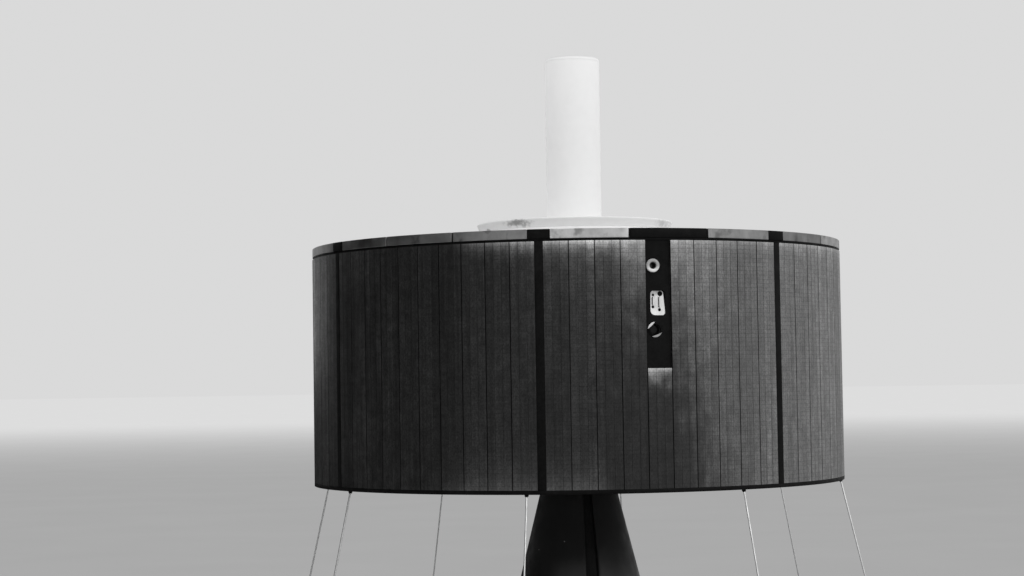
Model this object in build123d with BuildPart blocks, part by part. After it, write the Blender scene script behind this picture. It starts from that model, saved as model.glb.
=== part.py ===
"""Drum-shaped communications satellite with curved solar panels, on its tapered display stand.

Millimetres, +Z up. The origin is the middle of the stand's foot on the floor. The drum's axis is Z.
Azimuths are given in degrees from the front, which is -Y, and grow towards +X.
"""
from build123d import *
from math import cos, degrees, radians, sin, tan
import os

os.makedirs("parts", exist_ok=True)

# Driving dimensions of the drum
drum_radius = 710.0          # outer faces of the solar panels
panel_thickness = 8.0
skin_clearance = 0.2         # glue line between the drum's wall and what covers it
shell_wall = 12.0            # honeycomb substrate behind the panels
sector_count = 7             # solar panels round the drum
first_batten_azimuth = -7.0  # the batten nearest to the front
rim_height = 10.0            # black rim round the bottom
panel_height = 592.0
seam_height = 6.0            # black line under the top band
band_height = 23.0
rim_radial = 20.0

# Solar strips, battens and the top band
strips_per_sector = 10
strip_gap = 2.0
batten_width = 20.0
batten_proud = 0.5
batten_clearance = 0.5
seam_recess = 3.0
middle_segment_width = 197.0 # of the three segments in each sector
band_gap = 4.0
band_recess = 0.5
block_width = 54.0

# Black slot with the jet and the sensors, which takes the place of one strip
slot_sector = 0              # the panel to the right of the first batten
slot_strip = 4
slot_height = 306.0          # from the seam ring down
slot_plate_thickness = 2.0
port_clearance = 0.3
jet_inset = 17.1             # from the slot's left edge to the jet's axis
jet_drop = 61.0              # below the slot's top
jet_radius = 16.6            # white ring round the jet's mouth
jet_mouth_radius = 8.5
jet_proud = 7.0
jet_edge = 2.5
nozzle_throat_radius = 3.0
nozzle_wall = 1.0
nozzle_length = 16.0
nozzle_sink = 2.0            # mouth of the nozzle behind the ring's front
window_inset = 29.7
window_drop = 150.5
window_width = 38.0
window_height = 59.0
window_corner = 8.0
window_depth = 3.0
slit_width = 2.4
slit_height = 36.0
slit_pitch = 14.0
slit_end_radius = 2.4
slit_depth = 6.0
sensor_thickness = 20.0
sun_port_inset = 20.8
sun_port_drop = 214.0
sun_port_radius = 18.0
sun_port_inner_radius = 13.0
sun_port_proud = 5.0
sun_port_bevel = 3.5
sun_disc_depth = 8.0
sun_disc_thickness = 4.0

# Decks, thrust tube and motor
deck_thickness = 12.0
deck_clearance = 0.3
aft_deck_rise = 25.0         # underside of the aft deck above the drum's lower edge
forward_deck_recess = 12.0   # top of the forward deck below the drum's top edge
thrust_tube_radius = 150.0
thrust_tube_wall = 8.0
motor_opening_radius = 90.0
motor_radius = 118.0
motor_length = 380.0
motor_flange_thickness = 10.0

# Cover and antenna on top
cover_radius = 256.0
cover_wall = 4.0
cover_skirt_height = 52.0
cover_pan_height = 24.0
cover_lip_radius = 264.0
cover_lip_height = 5.0
antenna_radius = 74.0
antenna_wall = 3.0
antenna_length = 440.0
antenna_cap_height = 12.0
antenna_collar_radius = 84.0
antenna_collar_height = 6.0

# Whip antennas round the lower edge
whip_count = 8
first_whip_azimuth = -10.2
whip_tilt = 13.0             # outwards from straight down
whip_radius = 2.2
whip_length = 520.0
whip_root_radius = 5.0
whip_root_length = 6.0

# Separation ring under the drum
adapter_radius = 110.0
adapter_wall = 8.0
adapter_flange_radius = 125.0
adapter_flange_thickness = 8.0
adapter_drop = 6.0           # below the drum's lower edge
joint_bolt_count = 12
joint_bolt_radius = 2.5
joint_bolt_clearance = 0.3
joint_bolt_inset = 7.5       # from the flange's edge to the bolts
joint_bolt_across = 8.0      # across the flats of heads and nuts
joint_bolt_head = 4.0

# Display stand
stand_height = 1000.0        # floor to the drum's lower edge
stand_taper = 14.0           # of the column's side from upright
column_neck_radius = 101.0   # outside the cladding, just under the head
cladding_count = 3
cladding_gap_angle = 13.0
first_gap_azimuth = 12.5
cladding_thickness = 10.0
core_wall = 5.0
head_radius = 125.0
head_thickness = 12.0
head_edge = 2.0
foot_radius = 400.0
foot_thickness = 14.0
foot_bolt_count = 6
foot_bolt_circle_radius = 372.0
foot_bolt_radius = 7.0
foot_edge = 3.0

# Levels that follow from them
rim_bottom = stand_height
panel_bottom = rim_bottom + rim_height
seam_bottom = panel_bottom + panel_height
band_bottom = seam_bottom + seam_height
drum_top = band_bottom + band_height
aft_deck_bottom = rim_bottom + aft_deck_rise
aft_deck_top = aft_deck_bottom + deck_thickness
forward_deck_top = drum_top - forward_deck_recess
forward_deck_bottom = forward_deck_top - deck_thickness
pan_bottom = forward_deck_top + cover_skirt_height
pan_top = pan_bottom + cover_pan_height
adapter_bottom = rim_bottom - adapter_drop
adapter_flange_top = adapter_bottom + adapter_flange_thickness
head_bottom = adapter_bottom - head_thickness

# Radii and angles that follow from them
shell_outer = drum_radius - panel_thickness
shell_inner = shell_outer - shell_wall
skin_inner = shell_outer + skin_clearance
deck_radius = shell_inner - deck_clearance
whip_circle_radius = drum_radius - rim_radial / 2
sector_angle = 360.0 / sector_count


def arc_angle(width, radius=drum_radius):
    """Gives the angle in degrees that a width takes up along a circle."""
    return degrees(width / radius)


batten_angle = arc_angle(batten_width)
free_angle = sector_angle - batten_angle - 2 * arc_angle(batten_clearance)
strip_pitch = (free_angle + arc_angle(strip_gap)) / strips_per_sector
strip_angle = strip_pitch - arc_angle(strip_gap)


def compass(azimuth):
    """Turns an azimuth from the front into an angle from +X."""
    return azimuth - 90.0


def batten_azimuth(sector):
    """Gives the azimuth of the batten at the left of a sector."""
    return first_batten_azimuth + sector * sector_angle


def strip_azimuth(sector, strip):
    """Gives the azimuth of a solar strip's middle."""
    first = batten_azimuth(sector) + batten_angle / 2 + arc_angle(batten_clearance) + strip_angle / 2
    return first + strip * strip_pitch


def ring_sector(inner, outer, azimuth, width_angle):
    """Gives the sketch of one stretch of a flat ring."""
    start = compass(azimuth) - width_angle / 2
    with BuildSketch() as stretch:
        with BuildLine():
            near = CenterArc((0, 0), inner, start, width_angle)
            far = CenterArc((0, 0), outer, start, width_angle)
            Line(near @ 0, far @ 0)
            Line(near @ 1, far @ 1)
        make_face()
    return stretch.sketch


def flat_ring(outer, inner):
    """Gives the sketch of a whole flat ring."""
    with BuildSketch() as whole:
        Circle(outer)
        Circle(inner, mode=Mode.SUBTRACT)
    return whole.sketch


def outward_plane(azimuth, radius, height):
    """Gives a plane on the drum that faces outwards, with its Y up and its X to the right."""
    turn = radians(compass(azimuth))
    return Plane(
        origin=(radius * cos(turn), radius * sin(turn), height),
        x_dir=(-sin(turn), cos(turn), 0),
        z_dir=(cos(turn), sin(turn), 0),
    )


# Places of what is in the slot
slot_azimuth = strip_azimuth(slot_sector, slot_strip)
slot_left_azimuth = slot_azimuth - strip_angle / 2
slot_floor = seam_bottom - slot_height
slot_face_radius = skin_inner + slot_plate_thickness
jet_azimuth = slot_left_azimuth + arc_angle(jet_inset)
window_azimuth = slot_left_azimuth + arc_angle(window_inset)
sun_port_azimuth = slot_left_azimuth + arc_angle(sun_port_inset)
jet_plane = outward_plane(jet_azimuth, slot_face_radius, seam_bottom - jet_drop)
window_plane = outward_plane(window_azimuth, slot_face_radius, seam_bottom - window_drop)
sun_plane = outward_plane(sun_port_azimuth, slot_face_radius, seam_bottom - sun_port_drop)
port_reach = shell_wall + skin_clearance + slot_plate_thickness

# Hollow drum wall, with the openings that the jet and the sensors look through
with BuildPart() as drum_shell:
    with BuildSketch(Plane.XY.offset(panel_bottom)):
        add(flat_ring(shell_outer, shell_inner))
    extrude(amount=drum_top - panel_bottom)
    with BuildSketch(jet_plane):
        Circle(jet_mouth_radius)
    extrude(amount=-2 * port_reach, mode=Mode.SUBTRACT)
    with BuildSketch(window_plane):
        RectangleRounded(window_width, window_height, window_corner)
    extrude(amount=-2 * port_reach, mode=Mode.SUBTRACT)
    with BuildSketch(sun_plane):
        Circle(sun_port_inner_radius)
    extrude(amount=-2 * port_reach, mode=Mode.SUBTRACT)
drum_shell.part.label = "drum_shell"
export_step(drum_shell.part, "parts/drum_shell.step")

# Curved solar panels, one to a sector, each of upright strips of cells
for sector in range(sector_count):
    with BuildPart() as solar_panel:
        for strip in range(strips_per_sector):
            in_slot = sector == slot_sector and strip == slot_strip
            height = slot_floor - panel_bottom if in_slot else panel_height
            with BuildSketch(Plane.XY.offset(panel_bottom)):
                add(ring_sector(skin_inner, drum_radius, strip_azimuth(sector, strip), strip_angle))
            extrude(amount=height)
    panel_name = f"solar_panel_{sector + 1}"
    solar_panel.part.label = panel_name
    export_step(solar_panel.part, f"parts/{panel_name}.step")

# Upright black battens between the panels
with BuildPart() as panel_battens:
    with BuildSketch(Plane.XY.offset(panel_bottom)):
        for sector in range(sector_count):
            add(ring_sector(skin_inner, drum_radius + batten_proud, batten_azimuth(sector), batten_angle))
    extrude(amount=panel_height)
panel_battens.part.label = "panel_battens"
export_step(panel_battens.part, "parts/panel_battens.step")

# Thin black ring between the panels and the top band
with BuildPart() as seam_ring:
    with BuildSketch(Plane.XY.offset(seam_bottom)):
        add(flat_ring(drum_radius - seam_recess, skin_inner))
    extrude(amount=seam_height)
seam_ring.part.label = "seam_ring"
export_step(seam_ring.part, "parts/seam_ring.step")

# Top band: pale segments, a black block over each batten and one black segment over the slot
block_angle = arc_angle(block_width)
middle_angle = arc_angle(middle_segment_width)
band_gaps_angle = arc_angle(band_gap + batten_clearance)
outer_angle = (sector_angle - middle_angle - block_angle) / 2 - band_gaps_angle
band_outer = drum_radius - band_recess
pale_segments = []
for sector in range(sector_count):
    middle_azimuth = batten_azimuth(sector) + sector_angle / 2
    if sector == slot_sector:
        black_segment = (middle_azimuth, middle_angle)
    else:
        pale_segments.append((middle_azimuth, middle_angle))
    outer_shift = middle_angle / 2 + arc_angle(band_gap) + outer_angle / 2
    for side in (-1, 1):
        pale_segments.append((middle_azimuth + side * outer_shift, outer_angle))

with BuildPart() as band_segments:
    with BuildSketch(Plane.XY.offset(band_bottom)):
        for azimuth, width_angle in pale_segments:
            add(ring_sector(skin_inner, band_outer, azimuth, width_angle))
    extrude(amount=band_height)
band_segments.part.label = "band_segments"
export_step(band_segments.part, "parts/band_segments.step")

with BuildPart() as band_blocks:
    with BuildSketch(Plane.XY.offset(band_bottom)):
        for sector in range(sector_count):
            add(ring_sector(skin_inner, drum_radius, batten_azimuth(sector), block_angle))
    extrude(amount=band_height)
band_blocks.part.label = "band_blocks"
export_step(band_blocks.part, "parts/band_blocks.step")

with BuildPart() as band_blank:
    with BuildSketch(Plane.XY.offset(band_bottom)):
        add(ring_sector(skin_inner, band_outer, *black_segment))
    extrude(amount=band_height)
band_blank.part.label = "band_blank"
export_step(band_blank.part, "parts/band_blank.step")

# Black rim round the bottom
with BuildPart() as bottom_rim:
    with BuildSketch(Plane.XY.offset(rim_bottom)):
        add(flat_ring(drum_radius, drum_radius - rim_radial))
    extrude(amount=rim_height)
bottom_rim.part.label = "bottom_rim"
export_step(bottom_rim.part, "parts/bottom_rim.step")

# Black plate at the back of the slot
with BuildPart() as slot_plate:
    with BuildSketch(Plane.XY.offset(slot_floor)):
        add(ring_sector(skin_inner, slot_face_radius, slot_azimuth, strip_angle))
    extrude(amount=seam_bottom - slot_floor)
    with BuildSketch(jet_plane):
        Circle(jet_radius)
    extrude(amount=-port_reach, both=True, mode=Mode.SUBTRACT)
    with BuildSketch(window_plane):
        RectangleRounded(window_width, window_height, window_corner)
    extrude(amount=-port_reach, both=True, mode=Mode.SUBTRACT)
    with BuildSketch(sun_plane):
        Circle(sun_port_radius)
    extrude(amount=-port_reach, both=True, mode=Mode.SUBTRACT)
slot_plate.part.label = "slot_plate"
export_step(slot_plate.part, "parts/slot_plate.step")

# White ring of the radial jet, and the nozzle inside it
ring_back = -(slot_plate_thickness - port_clearance)
with BuildPart() as jet_ring:
    with BuildSketch(jet_plane.offset(ring_back)):
        Circle(jet_radius - port_clearance)
        Circle(jet_mouth_radius, mode=Mode.SUBTRACT)
    extrude(amount=jet_proud - ring_back)
    front_edges = jet_ring.faces().sort_by(Axis(jet_plane.origin, jet_plane.z_dir))[-1].edges()
    fillet(front_edges, jet_edge)
jet_ring.part.label = "jet_ring"
export_step(jet_ring.part, "parts/jet_ring.step")

nozzle_radius = jet_mouth_radius - port_clearance
with BuildPart() as jet_nozzle:
    with BuildSketch(jet_plane.offset(jet_proud - nozzle_sink)):
        Circle(nozzle_radius)
    with BuildSketch(jet_plane.offset(jet_proud - nozzle_sink - nozzle_length)):
        Circle(nozzle_throat_radius + nozzle_wall)
    loft()
    with BuildSketch(jet_plane.offset(jet_proud - nozzle_sink)):
        Circle(nozzle_radius - nozzle_wall)
    with BuildSketch(jet_plane.offset(jet_proud - nozzle_sink - nozzle_length + nozzle_wall)):
        Circle(nozzle_throat_radius)
    loft(mode=Mode.SUBTRACT)
jet_nozzle.part.label = "jet_nozzle"
export_step(jet_nozzle.part, "parts/jet_nozzle.step")

# Bright sensor block behind the window, with two upright slits
with BuildPart() as sensor_block:
    with BuildSketch(window_plane.offset(-window_depth)):
        RectangleRounded(
            window_width - 2 * port_clearance,
            window_height - 2 * port_clearance,
            window_corner - port_clearance,
        )
    extrude(amount=-sensor_thickness)
    with BuildSketch(window_plane.offset(-window_depth)):
        with GridLocations(slit_pitch, 0, 2, 1):
            Rectangle(slit_width, slit_height)
        with GridLocations(slit_pitch, slit_height, 2, 2):
            Circle(slit_end_radius)
    extrude(amount=-slit_depth, mode=Mode.SUBTRACT)
sensor_block.part.label = "sensor_block"
export_step(sensor_block.part, "parts/sensor_block.step")

# Bright ring of the sun sensor, and the dark disc that sits deep in it
with BuildPart() as sun_port_ring:
    with BuildSketch(sun_plane.offset(ring_back)):
        Circle(sun_port_radius - port_clearance)
        Circle(sun_port_inner_radius, mode=Mode.SUBTRACT)
    extrude(amount=sun_port_proud - ring_back)
    circles = sun_port_ring.edges().filter_by(GeomType.CIRCLE)
    front_circles = circles.sort_by(Axis(sun_plane.origin, sun_plane.z_dir))[-2:]
    chamfer(front_circles.sort_by(SortBy.RADIUS)[0], sun_port_bevel)
sun_port_ring.part.label = "sun_port_ring"
export_step(sun_port_ring.part, "parts/sun_port_ring.step")

with BuildPart() as sun_disc:
    with BuildSketch(sun_plane.offset(-sun_disc_depth)):
        Circle(sun_port_inner_radius - port_clearance)
    extrude(amount=-sun_disc_thickness)
sun_disc.part.label = "sun_disc"
export_step(sun_disc.part, "parts/sun_disc.step")

# Decks that close the drum
with BuildPart() as aft_deck:
    with BuildSketch(Plane.XY.offset(aft_deck_bottom)):
        add(flat_ring(deck_radius, motor_opening_radius))
    extrude(amount=deck_thickness)
aft_deck.part.label = "aft_deck"
export_step(aft_deck.part, "parts/aft_deck.step")

with BuildPart() as forward_deck:
    with BuildSketch(Plane.XY.offset(forward_deck_bottom)):
        Circle(deck_radius)
    extrude(amount=deck_thickness)
forward_deck.part.label = "forward_deck"
export_step(forward_deck.part, "parts/forward_deck.step")

# Thrust tube between the decks, and the motor as one plain block on the aft deck
with BuildPart() as thrust_tube:
    with BuildSketch(Plane.XY.offset(aft_deck_top)):
        add(flat_ring(thrust_tube_radius, thrust_tube_radius - thrust_tube_wall))
    extrude(amount=forward_deck_bottom - aft_deck_top)
thrust_tube.part.label = "thrust_tube"
export_step(thrust_tube.part, "parts/thrust_tube.step")

with BuildPart() as motor_block:
    with BuildSketch(Plane.XY.offset(aft_deck_top)):
        Circle(thrust_tube_radius - thrust_tube_wall - deck_clearance)
    extrude(amount=motor_flange_thickness)
    with BuildSketch(Plane.XY.offset(aft_deck_top + motor_flange_thickness)):
        Circle(motor_radius)
    extrude(amount=motor_length)
motor_block.part.label = "motor_block"
export_step(motor_block.part, "parts/motor_block.step")

# Round cover on the forward deck: a bright skirt and a pan with a lip
with BuildPart() as cover_skirt:
    with BuildSketch(Plane.XY.offset(forward_deck_top)):
        add(flat_ring(cover_radius, cover_radius - cover_wall))
    extrude(amount=cover_skirt_height)
cover_skirt.part.label = "cover_skirt"
export_step(cover_skirt.part, "parts/cover_skirt.step")

with BuildPart() as cover_pan:
    with BuildSketch(Plane.XY.offset(pan_bottom)):
        Circle(cover_radius)
    extrude(amount=cover_pan_height)
    with BuildSketch(Plane.XY.offset(pan_top - cover_lip_height)):
        Circle(cover_lip_radius)
    extrude(amount=cover_lip_height)
    with BuildSketch(Plane.XY.offset(pan_bottom)):
        Circle(cover_radius - cover_wall)
    extrude(amount=cover_pan_height - cover_wall, mode=Mode.SUBTRACT)
cover_pan.part.label = "cover_pan"
export_step(cover_pan.part, "parts/cover_pan.step")

# White antenna: a collar, a tube and a rounded cap
with BuildPart() as antenna_collar:
    with BuildSketch(Plane.XY.offset(pan_top)):
        add(flat_ring(antenna_collar_radius, antenna_radius + deck_clearance))
    extrude(amount=antenna_collar_height)
    chamfer(antenna_collar.edges().group_by(Axis.Z)[-1].sort_by(SortBy.RADIUS)[-1], antenna_collar_height / 2)
antenna_collar.part.label = "antenna_collar"
export_step(antenna_collar.part, "parts/antenna_collar.step")

with BuildPart() as antenna_tube:
    with BuildSketch(Plane.XY.offset(pan_top)):
        add(flat_ring(antenna_radius, antenna_radius - antenna_wall))
    extrude(amount=antenna_length)
antenna_tube.part.label = "antenna_tube"
export_step(antenna_tube.part, "parts/antenna_tube.step")

with BuildPart() as antenna_cap:
    with BuildSketch(Plane.XY.offset(pan_top + antenna_length)):
        Circle(antenna_radius)
    extrude(amount=antenna_cap_height)
    fillet(antenna_cap.edges().group_by(Axis.Z)[-1], antenna_cap_height * 0.9)
antenna_cap.part.label = "antenna_cap"
export_step(antenna_cap.part, "parts/antenna_cap.step")

# Whip antennas, splayed outwards, and the stubs that hold them under the rim
whip_azimuths = [first_whip_azimuth + number * 360.0 / whip_count for number in range(whip_count)]
whip_planes = []
for azimuth in whip_azimuths:
    turn = radians(compass(azimuth))
    splay = radians(whip_tilt)
    whip_planes.append(Plane(
        origin=(whip_circle_radius * cos(turn), whip_circle_radius * sin(turn), rim_bottom),
        z_dir=(sin(splay) * cos(turn), sin(splay) * sin(turn), -cos(splay)),
    ))
root_sink = whip_root_radius * tan(radians(whip_tilt))

with BuildPart() as whip_roots:
    for plane in whip_planes:
        with BuildSketch(plane.offset(-root_sink)):
            Circle(whip_root_radius)
        extrude(amount=whip_root_length + root_sink)
    split(bisect_by=Plane.XY.offset(rim_bottom), keep=Keep.BOTTOM)
whip_roots.part.label = "whip_roots"
export_step(whip_roots.part, "parts/whip_roots.step")

with BuildPart() as whip_antennas:
    for plane in whip_planes:
        with BuildSketch(plane.offset(whip_root_length)):
            Circle(whip_radius)
        extrude(amount=whip_length)
whip_antennas.part.label = "whip_antennas"
export_step(whip_antennas.part, "parts/whip_antennas.step")

# Separation ring under the aft deck, bolted by its flange to the stand's head
joint_circle_radius = adapter_flange_radius - joint_bolt_inset
with BuildPart() as separation_ring:
    with BuildSketch(Plane.XY.offset(adapter_bottom)):
        add(flat_ring(adapter_radius, adapter_radius - adapter_wall))
    extrude(amount=aft_deck_bottom - adapter_bottom)
    with BuildSketch(Plane.XY.offset(adapter_bottom)):
        add(flat_ring(adapter_flange_radius, adapter_radius - adapter_wall))
    extrude(amount=adapter_flange_thickness)
    with BuildSketch(Plane.XY.offset(adapter_bottom)):
        with PolarLocations(joint_circle_radius, joint_bolt_count):
            Circle(joint_bolt_radius + joint_bolt_clearance)
    extrude(amount=adapter_flange_thickness, mode=Mode.SUBTRACT)
separation_ring.part.label = "separation_ring"
export_step(separation_ring.part, "parts/separation_ring.step")

# Stand: a head plate, a tapered core with three curved cladding plates, and a round foot
with BuildPart() as stand_head:
    with BuildSketch(Plane.XY.offset(head_bottom)):
        Circle(head_radius)
        with PolarLocations(joint_circle_radius, joint_bolt_count):
            Circle(joint_bolt_radius + joint_bolt_clearance, mode=Mode.SUBTRACT)
    extrude(amount=head_thickness)
    chamfer(stand_head.edges().group_by(Axis.Z)[0].sort_by(SortBy.RADIUS)[-1], head_edge)
stand_head.part.label = "stand_head"
export_step(stand_head.part, "parts/stand_head.step")

with BuildPart() as joint_bolts:
    with PolarLocations(joint_circle_radius, joint_bolt_count):
        with Locations((0, 0, head_bottom - joint_bolt_head)):
            Cylinder(
                joint_bolt_radius,
                adapter_flange_top - head_bottom + 2 * joint_bolt_head,
                align=(Align.CENTER, Align.CENTER, Align.MIN),
            )
    for level in (adapter_flange_top, head_bottom - joint_bolt_head):
        with BuildSketch(Plane.XY.offset(level)):
            with PolarLocations(joint_circle_radius, joint_bolt_count):
                RegularPolygon(joint_bolt_across / 2, 6, major_radius=False)
        extrude(amount=joint_bolt_head)
joint_bolts.part.label = "joint_bolts"
export_step(joint_bolts.part, "parts/joint_bolts.step")

column_bottom = foot_thickness
column_height = head_bottom - column_bottom
column_flare = column_height * tan(radians(stand_taper))
core_top_radius = column_neck_radius - cladding_thickness


def column_profile(outer_top, thickness):
    """Gives the sketch of the slanting cross-section of the column's wall."""
    outer_bottom = outer_top + column_flare
    with BuildSketch() as profile:
        with BuildLine():
            Polyline(
                (outer_top, head_bottom),
                (outer_bottom, column_bottom),
                (outer_bottom - thickness, column_bottom),
                (outer_top - thickness, head_bottom),
                close=True,
            )
        make_face()
    return profile.sketch


with BuildPart() as stand_core:
    with BuildSketch(Plane.XZ):
        add(column_profile(core_top_radius, core_wall))
    revolve(axis=Axis.Z)
stand_core.part.label = "stand_core"
export_step(stand_core.part, "parts/stand_core.step")

cladding_pitch = 360.0 / cladding_count
with BuildPart() as stand_cladding:
    for number in range(cladding_count):
        start = first_gap_azimuth + cladding_gap_angle / 2 + number * cladding_pitch
        with BuildSketch(Plane.XZ.rotated((0, 0, compass(start)))):
            add(column_profile(column_neck_radius, cladding_thickness))
        revolve(axis=Axis.Z, revolution_arc=cladding_pitch - cladding_gap_angle)
stand_cladding.part.label = "stand_cladding"
export_step(stand_cladding.part, "parts/stand_cladding.step")

with BuildPart() as stand_foot:
    with BuildSketch():
        Circle(foot_radius)
        with PolarLocations(foot_bolt_circle_radius, foot_bolt_count, start_angle=compass(0)):
            Circle(foot_bolt_radius, mode=Mode.SUBTRACT)
    extrude(amount=foot_thickness)
    chamfer(stand_foot.edges().group_by(Axis.Z)[-1].sort_by(SortBy.RADIUS)[-1], foot_edge)
stand_foot.part.label = "stand_foot"
export_step(stand_foot.part, "parts/stand_foot.step")
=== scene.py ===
# %% [markdown]
# # A drum satellite on its display stand
#
# The object is a communications satellite of the 1960s that keeps its direction in space by spinning. A
# hollow drum carries solar cells all round, a white antenna stands on top, thin whips splay out below, and
# the drum is bolted to a dark tapered stand.
#
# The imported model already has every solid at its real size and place. This lesson gives each of them its
# real surface. Nearly every shape here is turned or spun, so most cells draw a small outline and spin it
# about an axis with one bmesh operator, which is also how a lathe would make the part.

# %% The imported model
import math
import random

import bmesh
import bpy
from mathutils import Euler, Matrix, Vector


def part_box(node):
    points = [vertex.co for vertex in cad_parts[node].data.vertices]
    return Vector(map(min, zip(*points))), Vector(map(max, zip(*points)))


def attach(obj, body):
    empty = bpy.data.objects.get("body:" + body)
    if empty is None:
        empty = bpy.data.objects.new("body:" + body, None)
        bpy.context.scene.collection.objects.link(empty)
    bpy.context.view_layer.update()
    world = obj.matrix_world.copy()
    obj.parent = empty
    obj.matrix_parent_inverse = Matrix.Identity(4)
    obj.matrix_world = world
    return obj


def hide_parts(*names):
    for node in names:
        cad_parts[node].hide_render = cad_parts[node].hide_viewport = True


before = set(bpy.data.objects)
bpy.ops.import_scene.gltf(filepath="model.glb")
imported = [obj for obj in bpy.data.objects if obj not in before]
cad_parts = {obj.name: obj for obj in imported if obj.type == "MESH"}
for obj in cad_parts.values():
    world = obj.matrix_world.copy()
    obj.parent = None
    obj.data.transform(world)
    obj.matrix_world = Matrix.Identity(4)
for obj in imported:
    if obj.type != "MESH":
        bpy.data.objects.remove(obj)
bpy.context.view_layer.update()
scene = bpy.context.scene
print("CAD nodes:", len(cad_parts))

# %% [markdown]
# ## Sizes come from the model
#
# A size that is typed twice will differ one day. So heights and radii are read from the boxes of the packed
# nodes, and only what a box can't tell, such as how many strips a panel has, is named here. Lengths are in
# metres. Azimuths are in degrees from the front, which faces -Y, and grow towards +X.

# %% Sizes of the drum
millimetre = 0.001


def levels(node):
    """Gives the lowest and highest Z of a CAD node."""
    low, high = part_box(node)
    return low.z, high.z


def reach(node):
    """Gives how far a round CAD node reaches from the Z axis."""
    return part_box(node)[1].x


drum_radius = reach("bottom_rim")
shell_radius = reach("drum_shell")
rim_low = levels("bottom_rim")[0]
panel_low, panel_high = levels("solar_panel_3")
band_low, band_high = levels("band_segments")
slot_low = levels("slot_plate")[0]
print("drum radius", round(drum_radius, 4), "panels from", round(panel_low, 4), "to", round(panel_high, 4))

# %% What repeats round the drum
sector_count = 7
sector_angle = 360 / sector_count
first_batten_azimuth = -7.0
strips_per_sector = 10
columns_per_strip = 3
slot_sector = 0
slot_strip = 4
strip_gap = 2.0 * millimetre
batten_width = 20.0 * millimetre
batten_clearance = 0.5 * millimetre
batten_proud = 0.5 * millimetre
glue_line = 0.2 * millimetre
skin_inner = shell_radius + glue_line


def angle_of(width, radius=drum_radius):
    """Gives the angle in degrees that a width takes up along a circle."""
    return math.degrees(width / radius)


free_angle = sector_angle - angle_of(batten_width) - 2 * angle_of(batten_clearance)
strip_pitch = (free_angle + angle_of(strip_gap)) / strips_per_sector
strip_angle = strip_pitch - angle_of(strip_gap)


def batten_azimuth(sector):
    """Gives the azimuth of the batten at the left of a sector."""
    return first_batten_azimuth + sector * sector_angle


def strip_azimuth(sector, strip):
    """Gives the azimuth of a strip's middle."""
    first = batten_azimuth(sector) + (angle_of(batten_width) + strip_angle) / 2 + angle_of(batten_clearance)
    return first + strip * strip_pitch


print("one strip covers", round(strip_angle, 3), "degrees")

# %% [markdown]
# ## The camera
#
# The camera stands where the photographer held it: 1.26 m above the floor and 5.7 m from the drum's axis,
# with a long lens and a slight roll. Its turn is an Euler angle for pan and tilt, followed by a turn about
# its own line of sight for the roll. Making it first means that every later piece can be looked at straight
# away.

# %% Camera
camera_place = Vector((0.0, -5.682, 1.2606))
camera_pan = math.radians(1.736)
camera_tilt = math.radians(2.655)
camera_roll = math.radians(-0.866)
camera_lens = 73.67


def add_object(name, data):
    """Puts a new object with its data into the scene."""
    added = bpy.data.objects.new(name, data)
    scene.collection.objects.link(added)
    return added


camera_data = bpy.data.cameras.new("camera")
camera_data.sensor_fit = "HORIZONTAL"
camera_data.sensor_width = 36.0
camera_data.lens = camera_lens
camera = add_object("camera", camera_data)
camera.location = camera_place
aim = Euler((math.radians(90) + camera_tilt, 0.0, camera_pan)).to_matrix()
camera.rotation_euler = (aim @ Matrix.Rotation(camera_roll, 3, "Z")).to_euler()
scene.camera = camera

# %% [markdown]
# ## Helpers for shapes
#
# Four steps make nearly every shape here. A lathe outline is spun through a full turn. A curved wall is a
# cross-section that is spun through part of a turn. A turned part for the drum's side is made round Z
# first, and a matrix then stands it on the drum. And sharp edges get a small bevel, because no real edge is
# perfectly sharp, and a bevel catches the light as a thin bright line.

# %% Places on the drum
def polar(azimuth, radius, height):
    """Gives the point at an azimuth, a radius and a height."""
    turn = math.radians(azimuth)
    return Vector((radius * math.sin(turn), -radius * math.cos(turn), height))


def outward(azimuth, radius, height):
    """Gives the matrix that stands a piece made round Z on the drum, with its Y up."""
    out = polar(azimuth, 1.0, 0.0)
    up = Vector((0.0, 0.0, 1.0))
    axes = Matrix((up.cross(out), up, out)).transposed().to_4x4()
    return Matrix.Translation(out * radius + up * height) @ axes


def place_of(node):
    """Gives the azimuth, radius and height of the middle of a small CAD node on the drum's side."""
    low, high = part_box(node)
    middle = (low + high) / 2
    return math.degrees(math.atan2(middle.x, -middle.y)), math.hypot(middle.x, middle.y), middle.z


# %% Lathe and curved wall
same_point = 1e-6


def rectangle(inner, outer, low, high):
    """Gives the corners of an upright rectangle, as (radius, height)."""
    return [(inner, low), (outer, low), (outer, high), (inner, high)]


def spin_about_z(mesh, geom, angle, steps, use_merge=False):
    """Spins points, edges and faces about the Z axis."""
    bmesh.ops.spin(
        mesh, geom=geom, cent=(0, 0, 0), axis=(0, 0, 1), angle=angle, steps=steps, use_merge=use_merge
    )


def add_lathe(mesh, outline, steps=96, place=None):
    """Spins an outline of (radius, height) pairs, and closes one whose ends are both off the axis."""
    verts = [mesh.verts.new((radius, 0.0, height)) for radius, height in outline]
    known = set(mesh.verts) - set(verts)
    edges = [mesh.edges.new(pair) for pair in zip(verts, verts[1:])]
    if min(outline[0][0], outline[-1][0]) > 0:
        edges.append(mesh.edges.new((verts[-1], verts[0])))
    spin_about_z(mesh, verts + edges, math.tau, steps, use_merge=True)
    made = [vert for vert in mesh.verts if vert not in known]
    bmesh.ops.remove_doubles(mesh, verts=made, dist=same_point)
    if place is not None:
        made = [vert for vert in mesh.verts if vert not in known]
        bmesh.ops.transform(mesh, matrix=place, verts=made)


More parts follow.
